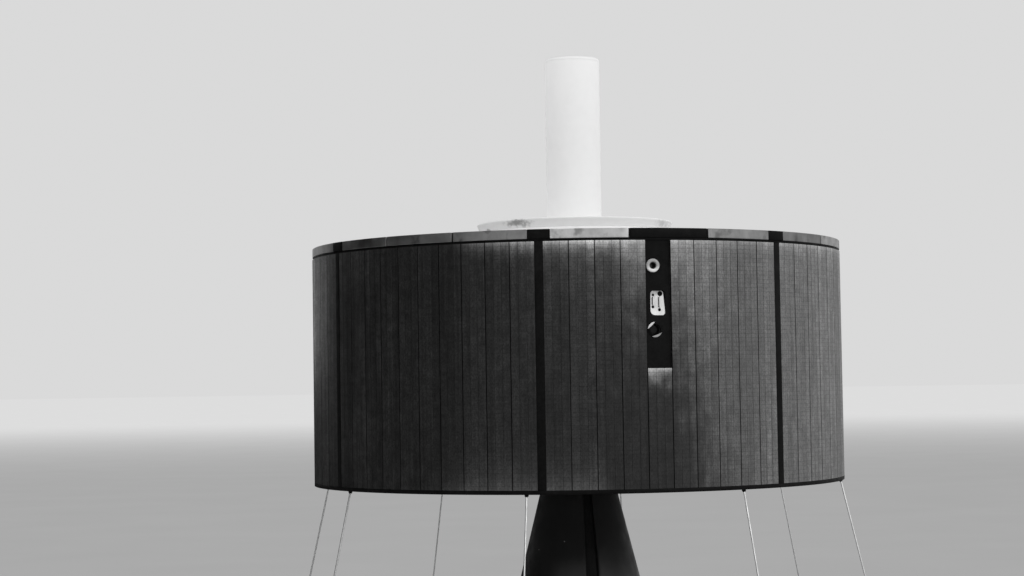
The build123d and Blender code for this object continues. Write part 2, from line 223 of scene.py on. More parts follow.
def add_curved_wall(mesh, section, azimuth, width, steps):
    """Spins a cross-section of (radius, height) corners through part of a turn, round its middle."""
    start = azimuth - width / 2
    face = mesh.faces.new([mesh.verts.new(polar(start, *corner)) for corner in section])
    spin_about_z(mesh, [face, *face.edges, *face.verts], math.radians(width), steps)


# %% Bevel
def bevel_edges(mesh, edges, width, segments):
    """Rounds the given edges."""
    bmesh.ops.bevel(
        mesh,
        geom=edges,
        offset=width,
        segments=segments,
        profile=0.5,
        affect="EDGES",
        material=-1,
        clamp_overlap=True,
    )


def round_edges(mesh, width, segments=2, sharper_than=35.0):
    """Bevels every edge where two faces meet at more than the given angle."""
    limit = math.radians(sharper_than)
    sharp = [edge for edge in mesh.edges if edge.is_manifold and edge.calc_face_angle(0.0) > limit]
    bevel_edges(mesh, sharp, width, segments)


# %% [markdown]
# ## From mesh to piece
#
# Each piece ends the same way: its normals are made to point outwards, it is shaded smooth with its real
# corners kept sharp, and it rides on the satellite's one body. It also takes its materials, and the CAD
# solid that it stands for is hidden. Many pieces need nothing but an outline and a bevel, so one function
# makes those from start to end.

# %% Finishing a piece
def take_mesh(mesh, name):
    """Turns a bmesh into mesh data, which an object can show."""
    data = bpy.data.meshes.new(name)
    mesh.to_mesh(data)
    mesh.free()
    return data


def finish_piece(mesh, name, materials, node, corner=30.0):
    """Turns a bmesh into a piece of the satellite, in the place of a CAD node."""
    bmesh.ops.recalc_face_normals(mesh, faces=mesh.faces)
    data = take_mesh(mesh, name)
    data.shade_smooth()
    data.set_sharp_from_angle(angle=math.radians(corner))
    for material in materials:
        data.materials.append(material)
    piece = add_object(name, data)
    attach(piece, "root")
    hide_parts(node)
    print(f"{name}: {len(data.vertices)} points, {len(data.polygons)} faces")


# %% A whole piece from the lathe
def turn_piece(
    name, slot, material, node, outline, steps=96, bevel=0.0, segments=2, place=None, corner=30.0
):
    """Makes a whole piece on the lathe and rounds its sharp edges."""
    mesh = bmesh.new()
    add_lathe(mesh, outline, steps, place)
    if bevel:
        round_edges(mesh, bevel, segments)
    finish_piece(mesh, name, [material], node, corner)


def dress_node(node, material):
    """Gives a CAD node that stays in view its material."""
    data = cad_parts[node].data
    data.materials.clear()
    data.materials.append(material)


# %% [markdown]
# ## Helpers for materials
#
# The picture is in shades of grey, so a pattern here is one number from 0 to 1, and a Map Range node turns
# it into a grey, a roughness or a height. Patterns use Object coordinates, which are metres on the real
# satellite, so the size of a scratch or a stain is easy to judge. A noise seldom leaves the range from 0.3
# to 0.7, so that range is what gets spread between two greys.

# %% Node helpers
def start_material(name, **constants):
    """Starts a material and sets what is the same all over on the shader's own sockets."""
    material = bpy.data.materials.new(name)
    material.use_nodes = True
    shader = material.node_tree.nodes["Principled BSDF"]
    for socket, value in constants.items():
        shader.inputs[socket.replace("_", " ")].default_value = value
    return material, material.node_tree, shader


def add_node(tree, kind, inputs, **settings):
    """Adds a shader node. An input that is a socket is linked, and any other is set."""
    node = tree.nodes.new("ShaderNode" + kind)
    for name, value in settings.items():
        setattr(node, name, value)
    for name, value in inputs.items():
        if isinstance(value, bpy.types.NodeSocket):
            tree.links.new(value, node.inputs[name])
        else:
            node.inputs[name].default_value = value
    return node


def object_place(tree):
    """Gives the Object coordinates of a point."""
    return add_node(tree, "TexCoord", {}).outputs["Object"]


# %% Patterns
def noise(tree, scale, stretch=(1.0, 1.0, 1.0), detail=3.0, shift=(0.0, 0.0, 0.0)):
    """Gives a noise pattern over the object, with its spots stretched along an axis by a scale under 1."""
    mapped = add_node(tree, "Mapping", {"Vector": object_place(tree), "Scale": stretch, "Location": shift})
    inputs = {"Vector": mapped.outputs["Vector"], "Scale": scale, "Detail": detail}
    return add_node(tree, "TexNoise", inputs).outputs["Fac"]


def spread(tree, value, low, high, to_low, to_high, smooth=False):
    """Maps a value from one range to another, and stops at its ends."""
    inputs = {"Value": value, "From Min": low, "From Max": high, "To Min": to_low, "To Max": to_high}
    kind = "SMOOTHSTEP" if smooth else "LINEAR"
    return add_node(tree, "MapRange", inputs, interpolation_type=kind).outputs["Result"]


def between(tree, pattern, low, high):
    """Maps a noise to the range from low to high."""
    return spread(tree, pattern, 0.3, 0.7, low, high)


# %% Sums and products
def combine(tree, operation, first, *others):
    """Joins numbers with Math nodes, one after the other."""
    for second in others:
        first = add_node(tree, "Math", {0: first, 1: second}, operation=operation).outputs["Value"]
    return first


def times(tree, *values):
    """Multiplies numbers."""
    return combine(tree, "MULTIPLY", *values)


def plus(tree, *values):
    """Adds numbers."""
    return combine(tree, "ADD", *values)


# %% Bump, colour and roughness
def add_bump(tree, shader, height, depth, strength=0.5):
    """Raises the surface by a pattern, in metres."""
    node = add_node(tree, "Bump", {"Height": height, "Distance": depth, "Strength": strength})
    tree.links.new(node.outputs["Normal"], shader.inputs["Normal"])


def set_finish(tree, shader, grey, rough):
    """Gives the shader its colour, as a grey, and its roughness."""
    tree.links.new(grey, shader.inputs["Base Color"])
    tree.links.new(rough, shader.inputs["Roughness"])


# %% [markdown]
# ## Black paint
#
# Battens, slot and rim are painted matte black so that no stray light reaches the sensors. Real matte black
# is never quite even: dust turns it grey in spots, and handling polishes it. A large noise times a fine one
# stands for the dust, another noise varies the roughness, and a very low bump gives the grain of the paint.

# %% Material: black paint
def make_black_paint(name, dark, dusty, gloss, shine=0.1):
    """Makes a matte black paint with dust and rubbed spots."""
    material, tree, shader = start_material(name, Specular_IOR_Level=shine)
    pale_patches = times(tree, noise(tree, 9.0, detail=5.0), noise(tree, 140.0, detail=2.0))
    grey = spread(tree, pale_patches, 0.15, 0.45, dark, dusty)
    set_finish(tree, shader, grey, between(tree, noise(tree, 35.0, detail=4.0), *gloss))
    add_bump(tree, shader, noise(tree, 900.0), 0.05 * millimetre)
    return material


black_paint = make_black_paint("black_paint", 0.002, 0.006, (0.5, 0.7))

# %% [markdown]
# ## Solar cells
#
# Each cell is a slice of silicon under a thin cover glass. It is nearly black, so most of what the eye sees
# is light from the sky on the glass. Cells from different batches differ a little, and that is what makes
# the strips and columns stand out from each other. So each cell's face carries a number, `cell_tone`, that
# is set while the mesh is made, and the material turns it into a grey. Blotches, specks and fine upright
# streaks from the glue are noise on top of it.
#
# A pale layer is painted on the glass, and it stands for light: a painted highlight along the top edges, a
# painted sheen that fades down from the top and reaches further down towards the right, and a painted
# reflection of the floor near the foot. Each part of it is a level that fades with the distance from an
# edge, and the level itself starts and ends at an azimuth. One line gives these numbers for each part. The
# UV map counts the rows of cells down from the top of each strip, so even the short strip under the slot has
# its own highlighted edge, which is brighter than its neighbours'.

# %% Azimuth in a material
def cylinder_place(tree):
    """Gives the azimuth in degrees from the front and the height of a point, for use in a material."""
    place = add_node(tree, "SeparateXYZ", {"Vector": object_place(tree)})
    turn = combine(tree, "ARCTAN2", place.outputs["X"], times(tree, place.outputs["Y"], -1.0))
    return times(tree, turn, math.degrees(1.0)), place.outputs["Z"]


def fade(tree, distance, length):
    """Gives 1 at no distance, and about a third at the given length."""
    steps = combine(tree, "DIVIDE", times(tree, distance, -1.0), length)
    return combine(tree, "POWER", math.e, steps)


def rise_and_fall(tree, value, level, rise, fall, rest=0.0):
    """Gives a level that starts over the first range and sinks to its rest over the second one."""
    up = spread(tree, value, *rise, 0.0, level, True)
    return times(tree, up, spread(tree, value, *fall, 1.0, rest, True))


# %% The painted sheen on the cells
full_rows = 58
row_pitch = (panel_high - panel_low) / full_rows
edge_length = 13.0 * millimetre
thin_length = 140.0 * millimetre
foot_length = 36.0 * millimetre
shortest_length = 75.0 * millimetre
length_at_slot = 72.0 * millimetre
degrees_to_double = 4.3
most_doublings = 6.0
# Each painted part: its grey, the azimuths over which it starts, those over which it ends, and what is left
# of it
# A painted highlight along the top edges
edge_highlight = (0.60, (-28.0, 5.0), (5.0, 15.0), 0.3)
# Painted sheen that fades down from the top
thin_sheen = (0.045, (-12.0, 4.0), (8.0, 17.0), 0.0)
# Painted sheen that reaches further down towards the right
wide_sheen = (0.30, (6.5, 13.0), (13.0, 33.0), 0.42)
# A painted reflection of the floor near the foot
foot_reflection = (0.046, (-32.0, -18.0), (3.0, 8.0), 0.0)
sheen_end = (85.0, 130.0)
sheen_fray = (0.65, 1.45)
# A painted highlight along the top edge of the short strip under the slot
slot_edge_highlight = 0.34
slot_edge_blur = 0.1


# %% Nodes of the painted sheen
def make_painted_sheen(tree):
    """Gives the grey of the painted highlight, sheen and floor reflection on the cells."""
    azimuth, height = cylinder_place(tree)
    row_map = add_node(tree, "UVMap", {}, uv_map="cell_rows")
    rows = add_node(tree, "SeparateXYZ", {"Vector": row_map.outputs["UV"]}).outputs["Y"]
    fray = between(tree, noise(tree, 42.0, stretch=(1.0, 1.0, 0.5), detail=6.0), *sheen_fray)

    slot_left = strip_azimuth(slot_sector, slot_strip) - strip_pitch / 2
    slot_right = slot_left + strip_pitch
    slot_sides = ((slot_left, slot_left + slot_edge_blur), (slot_right - slot_edge_blur, slot_right))
    edge_level = rise_and_fall(tree, azimuth, *edge_highlight)
    edge_level = plus(tree, edge_level, rise_and_fall(tree, azimuth, slot_edge_highlight, *slot_sides))
    edge = times(tree, fade(tree, times(tree, rows, row_pitch, fray), edge_length), edge_level)

    below_top = times(tree, combine(tree, "SUBTRACT", panel_high, height), fray)
    thin = times(tree, fade(tree, below_top, thin_length), rise_and_fall(tree, azimuth, *thin_sheen))

    beyond_slot = combine(tree, "SUBTRACT", azimuth, strip_azimuth(slot_sector, slot_strip))
    doublings = combine(tree, "DIVIDE", beyond_slot, degrees_to_double)
    doublings = combine(tree, "MINIMUM", doublings, most_doublings)
    length = times(tree, combine(tree, "POWER", 2.0, doublings), length_at_slot)
    length = combine(tree, "MAXIMUM", length, shortest_length)
    wide = times(tree, fade(tree, below_top, length), rise_and_fall(tree, azimuth, *wide_sheen))

    above_foot = combine(tree, "SUBTRACT", height, panel_low)
    foot = times(tree, fade(tree, above_foot, foot_length), rise_and_fall(tree, azimuth, *foot_reflection))

    painted_sheen = plus(tree, plus(tree, edge, wide), plus(tree, thin, foot))
    return times(tree, painted_sheen, spread(tree, azimuth, *sheen_end, 1.0, 0.0, True))


# %% Material: solar cells
cell_grey = 0.014


def make_cell_material():
    """Makes the dark glassy finish of the solar cells."""
    material, tree, shader = start_material("solar_cells", Specular_IOR_Level=0.3)
    tone = add_node(tree, "Attribute", {}, attribute_name="cell_tone").outputs["Fac"]
    blotches = between(tree, noise(tree, 38.0, detail=6.0), 0.75, 1.25)
    streaks = between(tree, noise(tree, 130.0, stretch=(1.0, 1.0, 0.03)), 0.62, 1.38)
    specks = between(tree, noise(tree, 300.0, stretch=(1.0, 1.0, 0.7), detail=2.0), 0.5, 1.5)
    grain = times(tree, blotches, streaks, specks)
    toned_grain = times(tree, grain, tone)
    stain = spread(tree, noise(tree, 2.3), 0.5, 0.75, cell_grey, cell_grey * 2)
    grey = times(tree, stain, tone, grain)
    # The painted highlight, sheen and floor reflection are laid over the cells' grey
    painted_sheen = times(tree, make_painted_sheen(tree), times(tree, plus(tree, toned_grain, 1.0), 0.5))
    set_finish(tree, shader, plus(tree, grey, painted_sheen), spread(tree, toned_grain, 0.5, 1.6, 0.48, 0.34))
    add_bump(tree, shader, noise(tree, 60.0, detail=4.0), 0.2 * millimetre, 0.3)
    return material


cell_material = make_cell_material()
joint_material = make_black_paint("cell_joints", 0.006, 0.010, (0.4, 0.5), 0.25)
backing_material = make_black_paint("panel_backing", 0.002, 0.005, (0.55, 0.75))

# %% [markdown]
# ## One column of cells
#
# A strip is one board with three columns of cells. A cell is about 20 by 10 mm, so a full strip has 58
# rows. The column starts as a flat grid with one face for each cell. The grid's border is pulled down to
# make the plate's sides, its underside is filled, and `inset_individual` raises every cell by itself, so a
# small V-shaped joint runs between neighbours. A full column and a short one are made once and copied,
# because the others differ only in their tones. Each stays flat, as real cells do, so the drum shows facets.

# %% A column of cells
short_rows = round((slot_low - panel_low) / row_pitch)
column_gap = 0.3 * millimetre
strip_width = strip_angle / 360 * math.tau * drum_radius
column_width = (strip_width - (columns_per_strip - 1) * column_gap) / columns_per_strip
cell_bevel = 0.26 * millimetre
cell_rise = 0.16 * millimetre
plate_sink = 1.2 * millimetre
# Which of a panel's materials a face shows
cell_number, board_number, joint_number = range(3)


def make_cell_column(rows, height):
    """Makes one flat column of raised cells, lying in XY with its middle at the origin."""
    mesh = bmesh.new()
    rows_uv = mesh.loops.layers.uv.new("cell_rows")
    flat = bmesh.ops.create_grid(mesh, x_segments=1, y_segments=rows, size=0.5)
    bmesh.ops.scale(mesh, vec=(column_width, height, 1.0), verts=flat["verts"])
    cells = list(mesh.faces)
    border = [edge for edge in mesh.edges if edge.is_boundary]
    walls = bmesh.ops.extrude_edge_only(mesh, edges=border)["geom"]
    lowered = [item for item in walls if isinstance(item, bmesh.types.BMVert)]
    bmesh.ops.translate(mesh, vec=(0.0, 0.0, -plate_sink), verts=lowered)
    bmesh.ops.holes_fill(mesh, edges=[edge for edge in mesh.edges if edge.is_boundary], sides=0)
    bmesh.ops.inset_individual(mesh, faces=cells, thickness=cell_bevel, depth=cell_rise)
    for face in mesh.faces:
        face.material_index = joint_number
    for face in cells:
        face.material_index = cell_number
        for loop in face.loops:
            place = loop.vert.co
            loop[rows_uv].uv = (place.x / column_width + 0.5, (0.5 - place.y / height) * rows)
    bmesh.ops.recalc_face_normals(mesh, faces=mesh.faces)
    return take_mesh(mesh, f"cell_column_{rows}")


full_column = make_cell_column(full_rows, panel_high - panel_low)
short_column = make_cell_column(short_rows, slot_low - panel_low)
print("cells in a full strip:", full_rows * columns_per_strip, "each", round(row_pitch * 1000, 1), "mm high")

# %% [markdown]
# ## The tone of each cell
#
# Three random steps multiply: one for the strip, one for a column in it and one for the single cell. The
# random numbers start from a fixed seed, so every run gives the same satellite.

# %% Tones
dice = random.Random(11)
strip_spread = 0.22
column_spread = 0.22
cell_spread = 0.12


def vary(share):
    """Gives a random factor near 1."""
    return 1 + dice.uniform(-share, share)


def cell_tones(rows, strip_tone):
    """Gives the tones of one column of cells, from the bottom row to the top row."""
    column_tone = strip_tone * vary(column_spread)
    return [column_tone * vary(cell_spread) for _ in range(rows)]


# %% [markdown]
# ## Solar panels
#
# Every sector between two battens is one piece: ten boards with a 2 mm gap, and three columns of cells on
# each. The board is a curved block. The column's mesh is added to the sector's bmesh with `from_mesh`, and
# only its new points are moved to their place on the drum. In the first sector one board is cut short,
# because the slot with the sensors takes its upper half.

# %% Columns on a panel
board_radius = drum_radius - 1.5 * millimetre
board_edge = 0.4 * millimetre
degrees_per_board_step = 2.0
cell_radius = drum_radius - 0.1 * millimetre - cell_rise
column_pitch = (strip_angle + angle_of(column_gap)) / columns_per_strip


def add_column(mesh, column, azimuth, low, high, tones):
    """Adds one column of cells to a sector and gives every cell its tone."""
    known_verts, known_faces = set(mesh.verts), set(mesh.faces)
    mesh.from_mesh(column)
    place = outward(azimuth, cell_radius, (low + high) / 2)
    bmesh.ops.transform(mesh, matrix=place, verts=[vert for vert in mesh.verts if vert not in known_verts])
    tone_layer = mesh.faces.layers.float["cell_tone"]
    for face in mesh.faces:
        if face not in known_faces and face.material_index == cell_number:
            row = int((face.calc_center_median().z - low) / (high - low) * len(tones))
            face[tone_layer] = tones[row]


# %% Solar panels
def make_panel(sector):
    """Makes one sector of boards and cells."""
    mesh = bmesh.new()
    boards = range(strips_per_sector)
    tops = [slot_low if (sector, board) == (slot_sector, slot_strip) else panel_high for board in boards]
    board_steps = math.ceil(strip_angle / degrees_per_board_step)
    for board in boards:
        section = rectangle(skin_inner, board_radius, panel_low, tops[board])
        add_curved_wall(mesh, section, strip_azimuth(sector, board), strip_angle, board_steps)
    round_edges(mesh, board_edge, segments=1)
    for face in mesh.faces:
        face.material_index = board_number
    mesh.loops.layers.uv.new("cell_rows")
    mesh.faces.layers.float.new("cell_tone")
    for board in boards:
        short = tops[board] < panel_high
        column, rows = (short_column, short_rows) if short else (full_column, full_rows)
        strip_tone = vary(strip_spread)
        for number in range(columns_per_strip):
            azimuth = strip_azimuth(sector, board) + (number - (columns_per_strip - 1) / 2) * column_pitch
            add_column(mesh, column, azimuth, panel_low, tops[board], cell_tones(rows, strip_tone))
    name = f"solar_panel_{sector + 1}"
    finishes = [cell_material, backing_material, joint_material]
    finish_piece(mesh, name + "_cells", finishes, name)


for sector in range(sector_count):
    make_panel(sector)

# %% [markdown]
# ## Battens and their screws
#
# An upright black batten covers the joint between two panels. It is a curved block with rounded edges. A
# row of flat screws holds it down. A screw head is a tiny lathe shape, and because it is repeated many
# times it gets only a dozen steps round. Each size of screw is made once, and `from_mesh` then adds a moved
# copy of it wherever one is needed, which is much quicker than spinning every one.

# %% Screws
screw_radius = 2.3 * millimetre
screw_height = 0.5 * millimetre
screw_steps = 12
screw_meshes = {}


def make_screw(radius, height, finish):
    """Makes a low round screw head with a small recess, in the piece's material of the given number."""
    recess = radius * 0.35
    outline = [
        (radius, -height),
        (radius, height * 0.4),
        (radius * 0.75, height),
        (recess, height),
        (recess * 0.8, 0.0),
        (0.0, 0.0),
    ]
    mesh = bmesh.new()
    add_lathe(mesh, outline, screw_steps)
    for face in mesh.faces:
        face.material_index = finish
    return take_mesh(mesh, "screw")


def add_screw(mesh, place, radius=screw_radius, height=screw_height, finish=0):
    """Adds a screw head that stands on the given place."""
    size = (radius, height, finish)
    if size not in screw_meshes:
        screw_meshes[size] = make_screw(*size)
    screw = screw_meshes[size].copy()
    screw.transform(place)
    mesh.from_mesh(screw)
    bpy.data.meshes.remove(screw)


# %% Battens
batten_face = drum_radius + batten_proud
batten_screws = 9
batten_screw_sunk = 0.35 * millimetre
batten_steps = 3
batten_bevel = 0.9 * millimetre
batten_section = rectangle(skin_inner, batten_face, panel_low, panel_high)
battens = bmesh.new()
for sector in range(sector_count):
    add_curved_wall(battens, batten_section, batten_azimuth(sector), angle_of(batten_width), batten_steps)
round_edges(battens, batten_bevel)
for sector in range(sector_count):
    for number in range(batten_screws):
        height = panel_low + (panel_high - panel_low) * (number + 0.5) / batten_screws
        add_screw(battens, outward(batten_azimuth(sector), batten_face - batten_screw_sunk, height))
finish_piece(battens, "battens", [black_paint], "panel_battens")

# %% [markdown]
# ## Rings above and below the panels
#
# A thin black ring runs under the top band, and a black rim closes the drum's lower edge. Both are lathe
# shapes with a closed outline, so the spin gives a solid ring with an inside, and its four corners are
# beveled afterwards. The rim's screws are seen from below only.

# %% Seam ring and bottom rim
ring_steps = 216
seam_bevel = 0.5 * millimetre
seam_section = rectangle(skin_inner, reach("seam_ring"), *levels("seam_ring"))
turn_piece("seam_band", "black_paint", black_paint, "seam_ring", seam_section, ring_steps, seam_bevel)

rim_width = 20.0 * millimetre
rim_middle = drum_radius - rim_width / 2
rim_screws = 56
rim_screw_height = rim_low + 0.3 * millimetre
rim_bevel = 1.0 * millimetre
upside_down = Matrix.Rotation(math.pi, 4, "X")

rim = bmesh.new()
add_lathe(rim, rectangle(drum_radius - rim_width, drum_radius, *levels("bottom_rim")), ring_steps)
round_edges(rim, rim_bevel)
for number in range(rim_screws):
    spot = polar(number * 360 / rim_screws, rim_middle, rim_screw_height)
    add_screw(rim, Matrix.Translation(spot) @ upside_down)
finish_piece(rim, "lower_rim", [black_paint], "bottom_rim")

# %% [markdown]
# ## Mottled metal of the top band
#
# The top band is bare aluminium that has been handled and cleaned many times. It is a metal, so its colour
# lies in its reflection, and its look comes from roughness: cloudy patches, fine upright scratches, and a
# few darker stains. The stains are noise that is cut off high, so that only its peaks show.

# %% Material: band metal
stain_shift = (3.135, 0.7, 0.9)


def make_mottled_metal(name, dark, light, gloss, stain_grey, streak=(1.0, 1.0, 0.3)):
    """Makes worn bare metal with clouds, scratches and stains. Each face carries its own tone."""
    material, tree, shader = start_material(name, Metallic=1.0)
    clouds = noise(tree, 22.0, detail=5.0)
    scratches = noise(tree, 220.0, stretch=streak, detail=2.0)
    spots = noise(tree, 24.0, detail=3.0, shift=stain_shift)
    stain = spread(tree, spots, 0.58, 0.72, 1.0, stain_grey, True)
    tone = add_node(tree, "Attribute", {}, attribute_name="plate_tone").outputs["Fac"]
    rough = spread(tree, plus(tree, clouds, scratches), 0.7, 1.3, *gloss)
    set_finish(tree, shader, times(tree, between(tree, clouds, dark, light), stain, tone), rough)
    add_bump(tree, shader, scratches, 0.06 * millimetre, 0.3)
    return material


band_metal = make_mottled_metal("band_metal", 0.30, 0.52, (0.38, 0.58), 0.6)

# %% [markdown]
# ## The top band
#
# Each sector has three pale plates with a narrow gap, and a black block over each batten. Over the slot one
# plate is black as well. The table of plates is worked out once, as a shift from the sector's middle and a
# width, both in degrees: the outer plates are shorter, because the blocks take their ends. The plates come
# from different sheets, so each one gets a tone of its own, as the cells do. The three at the front are set
# to match the photograph instead, and their tones are painted reflection: the plate left of the slot is
# paler, as a painted bright reflection, and the two right of the slot are darker, as painted shade that
# holds back the soft box's reflection. The others take a random one.

# %% Sizes of the top band
band_gap = 4.0 * millimetre
middle_width = 197.0 * millimetre
block_width = 54.0 * millimetre
band_outer = drum_radius - 0.5 * millimetre
band_step = 1.3
block_angle = angle_of(block_width)
middle_angle = angle_of(middle_width)
outer_angle = (sector_angle - middle_angle - block_angle) / 2 - angle_of(band_gap + batten_clearance)
outer_shift = (middle_angle + outer_angle) / 2 + angle_of(band_gap)
band_plates = [(-outer_shift, outer_angle), (0.0, middle_angle), (outer_shift, outer_angle)]

plate_bevel = 1.2 * millimetre
black_plate_bevel = 0.8 * millimetre
block_bevel = 1.0 * millimetre
# The tones of three plates at the front, by their sector and their number in it. They are painted
# reflection: paler left of the slot, darker right of it.
front_reflection_tones = {(0, 0): 1.55, (0, 2): 0.68, (1, 0): 0.56}
plate_spread = 0.2


# %% Top band
def add_band_block(mesh, outer, azimuth, width):
    """Adds a curved block of the top band."""
    section = rectangle(skin_inner, outer, band_low, band_high)
    add_curved_wall(mesh, section, azimuth, width, math.ceil(width / band_step))


pale_plates, black_plate, blocks = bmesh.new(), bmesh.new(), bmesh.new()
plate_tone = pale_plates.faces.layers.float.new("plate_tone")
for sector in range(sector_count):
    for number, (shift, width) in enumerate(band_plates):
        over_slot = sector == slot_sector and shift == 0.0
        known = set(pale_plates.faces)
        azimuth = batten_azimuth(sector) + sector_angle / 2 + shift
        add_band_block(black_plate if over_slot else pale_plates, band_outer, azimuth, width)
        tone = front_reflection_tones.get((sector, number), vary(plate_spread))
        for face in set(pale_plates.faces) - known:
            face[plate_tone] = tone
    add_band_block(blocks, drum_radius, batten_azimuth(sector), block_angle)
round_edges(pale_plates, plate_bevel)
round_edges(black_plate, black_plate_bevel)
round_edges(blocks, block_bevel)
finish_piece(pale_plates, "band_plates", [band_metal], "band_segments", corner=20.0)
finish_piece(black_plate, "band_black_plate", [black_paint], "band_blank")
finish_piece(blocks, "band_black_blocks", [black_paint], "band_blocks")

# %% [markdown]
# ## Metals and white paint for the small parts
#
# The sensor's plate and the bare spots of the sun port's ring are machined and almost polished. Machining
# leaves fine lines, which a stretched noise stands for, and the roughness stays low enough for the edges to
# glint. A piece may add a shade of its own, which darkens the metal in places. White paint gets faint dirt
# from two noises that multiply, and a slight orange-peel bump.

# %% Materials: small parts
def make_machined_metal(name, dark, light, gloss, grain_scale=260.0, make_shade=None):
    """Makes a clean machined metal with a fine grain. A shade may darken it in places."""
    material, tree, shader = start_material(name, Metallic=1.0)
    grain = noise(tree, grain_scale, stretch=(1.0, 1.0, 0.25), detail=4.0)
    grey = between(tree, grain, dark, light)
    if make_shade:
        grey = times(tree, grey, make_shade(tree))
    set_finish(tree, shader, grey, between(tree, noise(tree, 40.0), *gloss))
    add_bump(tree, shader, grain, 0.04 * millimetre, 0.3)
    return material


def make_white_paint(name, clean, soiled, gloss=(0.4, 0.6), dirt_scale=6.0, make_shade=None):
    """Makes white paint with faint dirt. A shade may darken it in places."""
    material, tree, shader = start_material(name, Specular_IOR_Level=0.4)
    dirt = times(tree, noise(tree, dirt_scale, detail=5.0), noise(tree, dirt_scale * 12, detail=3.0))
    grey = spread(tree, dirt, 0.2, 0.5, clean, soiled)
    if make_shade:
        grey = times(tree, grey, make_shade(tree))
    set_finish(tree, shader, grey, between(tree, noise(tree, 30.0), *gloss))
    add_bump(tree, shader, noise(tree, 500.0, detail=2.0), 0.08 * millimetre, 0.25)
    return material


def make_lens_glass():
    """Makes the almost black glass of the sun sensor."""
    material, tree, shader = start_material("lens_glass", Specular_IOR_Level=0.15)
    depth = noise(tree, 80.0, detail=2.0)
    set_finish(tree, shader, between(tree, depth, 0.004, 0.012), between(tree, depth, 0.1, 0.2))
    return material


port_metal = make_machined_metal("port_metal", 0.82, 0.95, (0.3, 0.45))
# The nozzle's metal is made nearly black, which is painted shade for the inside of the jet's hole
nozzle_shade_metal = make_machined_metal("nozzle_shade_metal", 0.07, 0.13, (0.4, 0.55))
lens_glass = make_lens_glass()

# %% [markdown]
# ## The slot: jet, sensor and sun port
#
# The slot's black back plate keeps its CAD shape. The jet's ring is a lathe part with a soft outer edge,
# and its nozzle is a thin cone inside. Both are made round Z at the origin, and one matrix stands them on
# the drum. The heights along that axis are measured from the plate's face. Painted shade darkens the upper
# side of the ring's white paint, so its grey follows the height above the jet's middle.

# %% Jet
slot_plate_thickness = 2.0 * millimetre
plate_face = skin_inner + slot_plate_thickness
jet_azimuth, _, jet_height = place_of("jet_ring")
jet_place = outward(jet_azimuth, plate_face, jet_height)
upper_shade_grey = 0.36
clean_grey = 0.78
upper_shade_start = -10.0 * millimetre
upper_shade_fray = 3.0 * millimetre


def make_shaded_port_paint():
    """Makes the white paint of the jet's ring, with painted shade on its upper side."""
    material, tree, shader = start_material("port_white", Specular_IOR_Level=0.4)
    above = combine(tree, "SUBTRACT", cylinder_place(tree)[1], jet_height)
    fray = between(tree, noise(tree, 160.0, detail=4.0), -upper_shade_fray, upper_shade_fray)
    grey = spread(tree, plus(tree, above, fray), upper_shade_start, 0.0, clean_grey, upper_shade_grey, True)
    set_finish(tree, shader, grey, between(tree, noise(tree, 60.0), 0.4, 0.6))
    add_bump(tree, shader, noise(tree, 500.0, detail=2.0), 0.08 * millimetre, 0.25)
    return material


port_white = make_shaded_port_paint()
jet_outer = 16.3 * millimetre
jet_mouth = 8.5 * millimetre
jet_proud = 7.0 * millimetre
jet_bevel = 2.4 * millimetre
port_back = -1.7 * millimetre
port_steps = 72
inner_port_steps = 48
turn_piece(
    "jet_mouth_ring",
    "port_white",
    port_white,
    "jet_ring",
    rectangle(jet_mouth, jet_outer, port_back, jet_proud),
    port_steps,
    jet_bevel,
    segments=4,
    place=jet_place,
    corner=40.0,
)

# %% Jet's nozzle
nozzle_mouth = 8.2 * millimetre
nozzle_throat = 3.0 * millimetre
nozzle_wall = 1.0 * millimetre
nozzle_front = 5.0 * millimetre
nozzle_back = -11.0 * millimetre
nozzle_outline = [
    (0.0, nozzle_back),
    (nozzle_throat + nozzle_wall, nozzle_back),
    (nozzle_mouth, nozzle_front),
    (nozzle_mouth - nozzle_wall, nozzle_front),
    (nozzle_throat, nozzle_back + nozzle_wall),
    (0.0, nozzle_back + nozzle_wall),
]
turn_piece(
    "jet_cone",
    "port_metal",
    nozzle_shade_metal,
    "jet_nozzle",
    nozzle_outline,
    inner_port_steps,
    place=jet_place,
)

# %% [markdown]
# ## The earth sensor's window
#
# Behind the window sits a bright machined plate with four round holes and two raised bars. The plate leans
# in towards its top, and each corner has its own radius. Its outline and its holes are closed loops of
# edges. `triangle_fill` fills the space between them, and an extrusion gives the plate its depth, so the
# holes go through it. A black block behind closes them. A bar is a slab as well, and the black on its sides
# is painted shade, which makes it stand out. Painted shade also darkens the plate towards its top. All of it
# is drawn in millimetres, and the matrix that puts it in the drum also scales it to metres.

# %% Outlines for the sensor block
def arc_points(centre, radius, start, end, steps):
    """Gives points along an arc, with its angles in degrees."""
    angles = [math.radians(start + (end - start) * step / steps) for step in range(steps + 1)]
    return [(centre[0] + radius * math.cos(angle), centre[1] + radius * math.sin(angle)) for angle in angles]


def rounded_outline(corners, steps=8):
    """Gives the outline round four corners, (across, up, radius) from the upper right, anticlockwise."""
    points = []
    for number, (across, up, radius) in enumerate(corners):
        centre = (across - math.copysign(radius, across), up - math.copysign(radius, up))
        points += arc_points(centre, radius, number * 90, number * 90 + 90, steps)
    return points


def bar_outline(middle, low, high, radius, steps=10):
    """Gives the outline of an upright bar with round ends."""
    upper = arc_points((middle, high - radius), radius, 0, 180, steps)
    return upper + arc_points((middle, low + radius), radius, 180, 360, steps)


def hole_outline(centre, radius, steps=24):
    """Gives the outline of a round hole."""
    return arc_points(centre, radius, 0, 360 * (steps - 1) / steps, steps - 1)


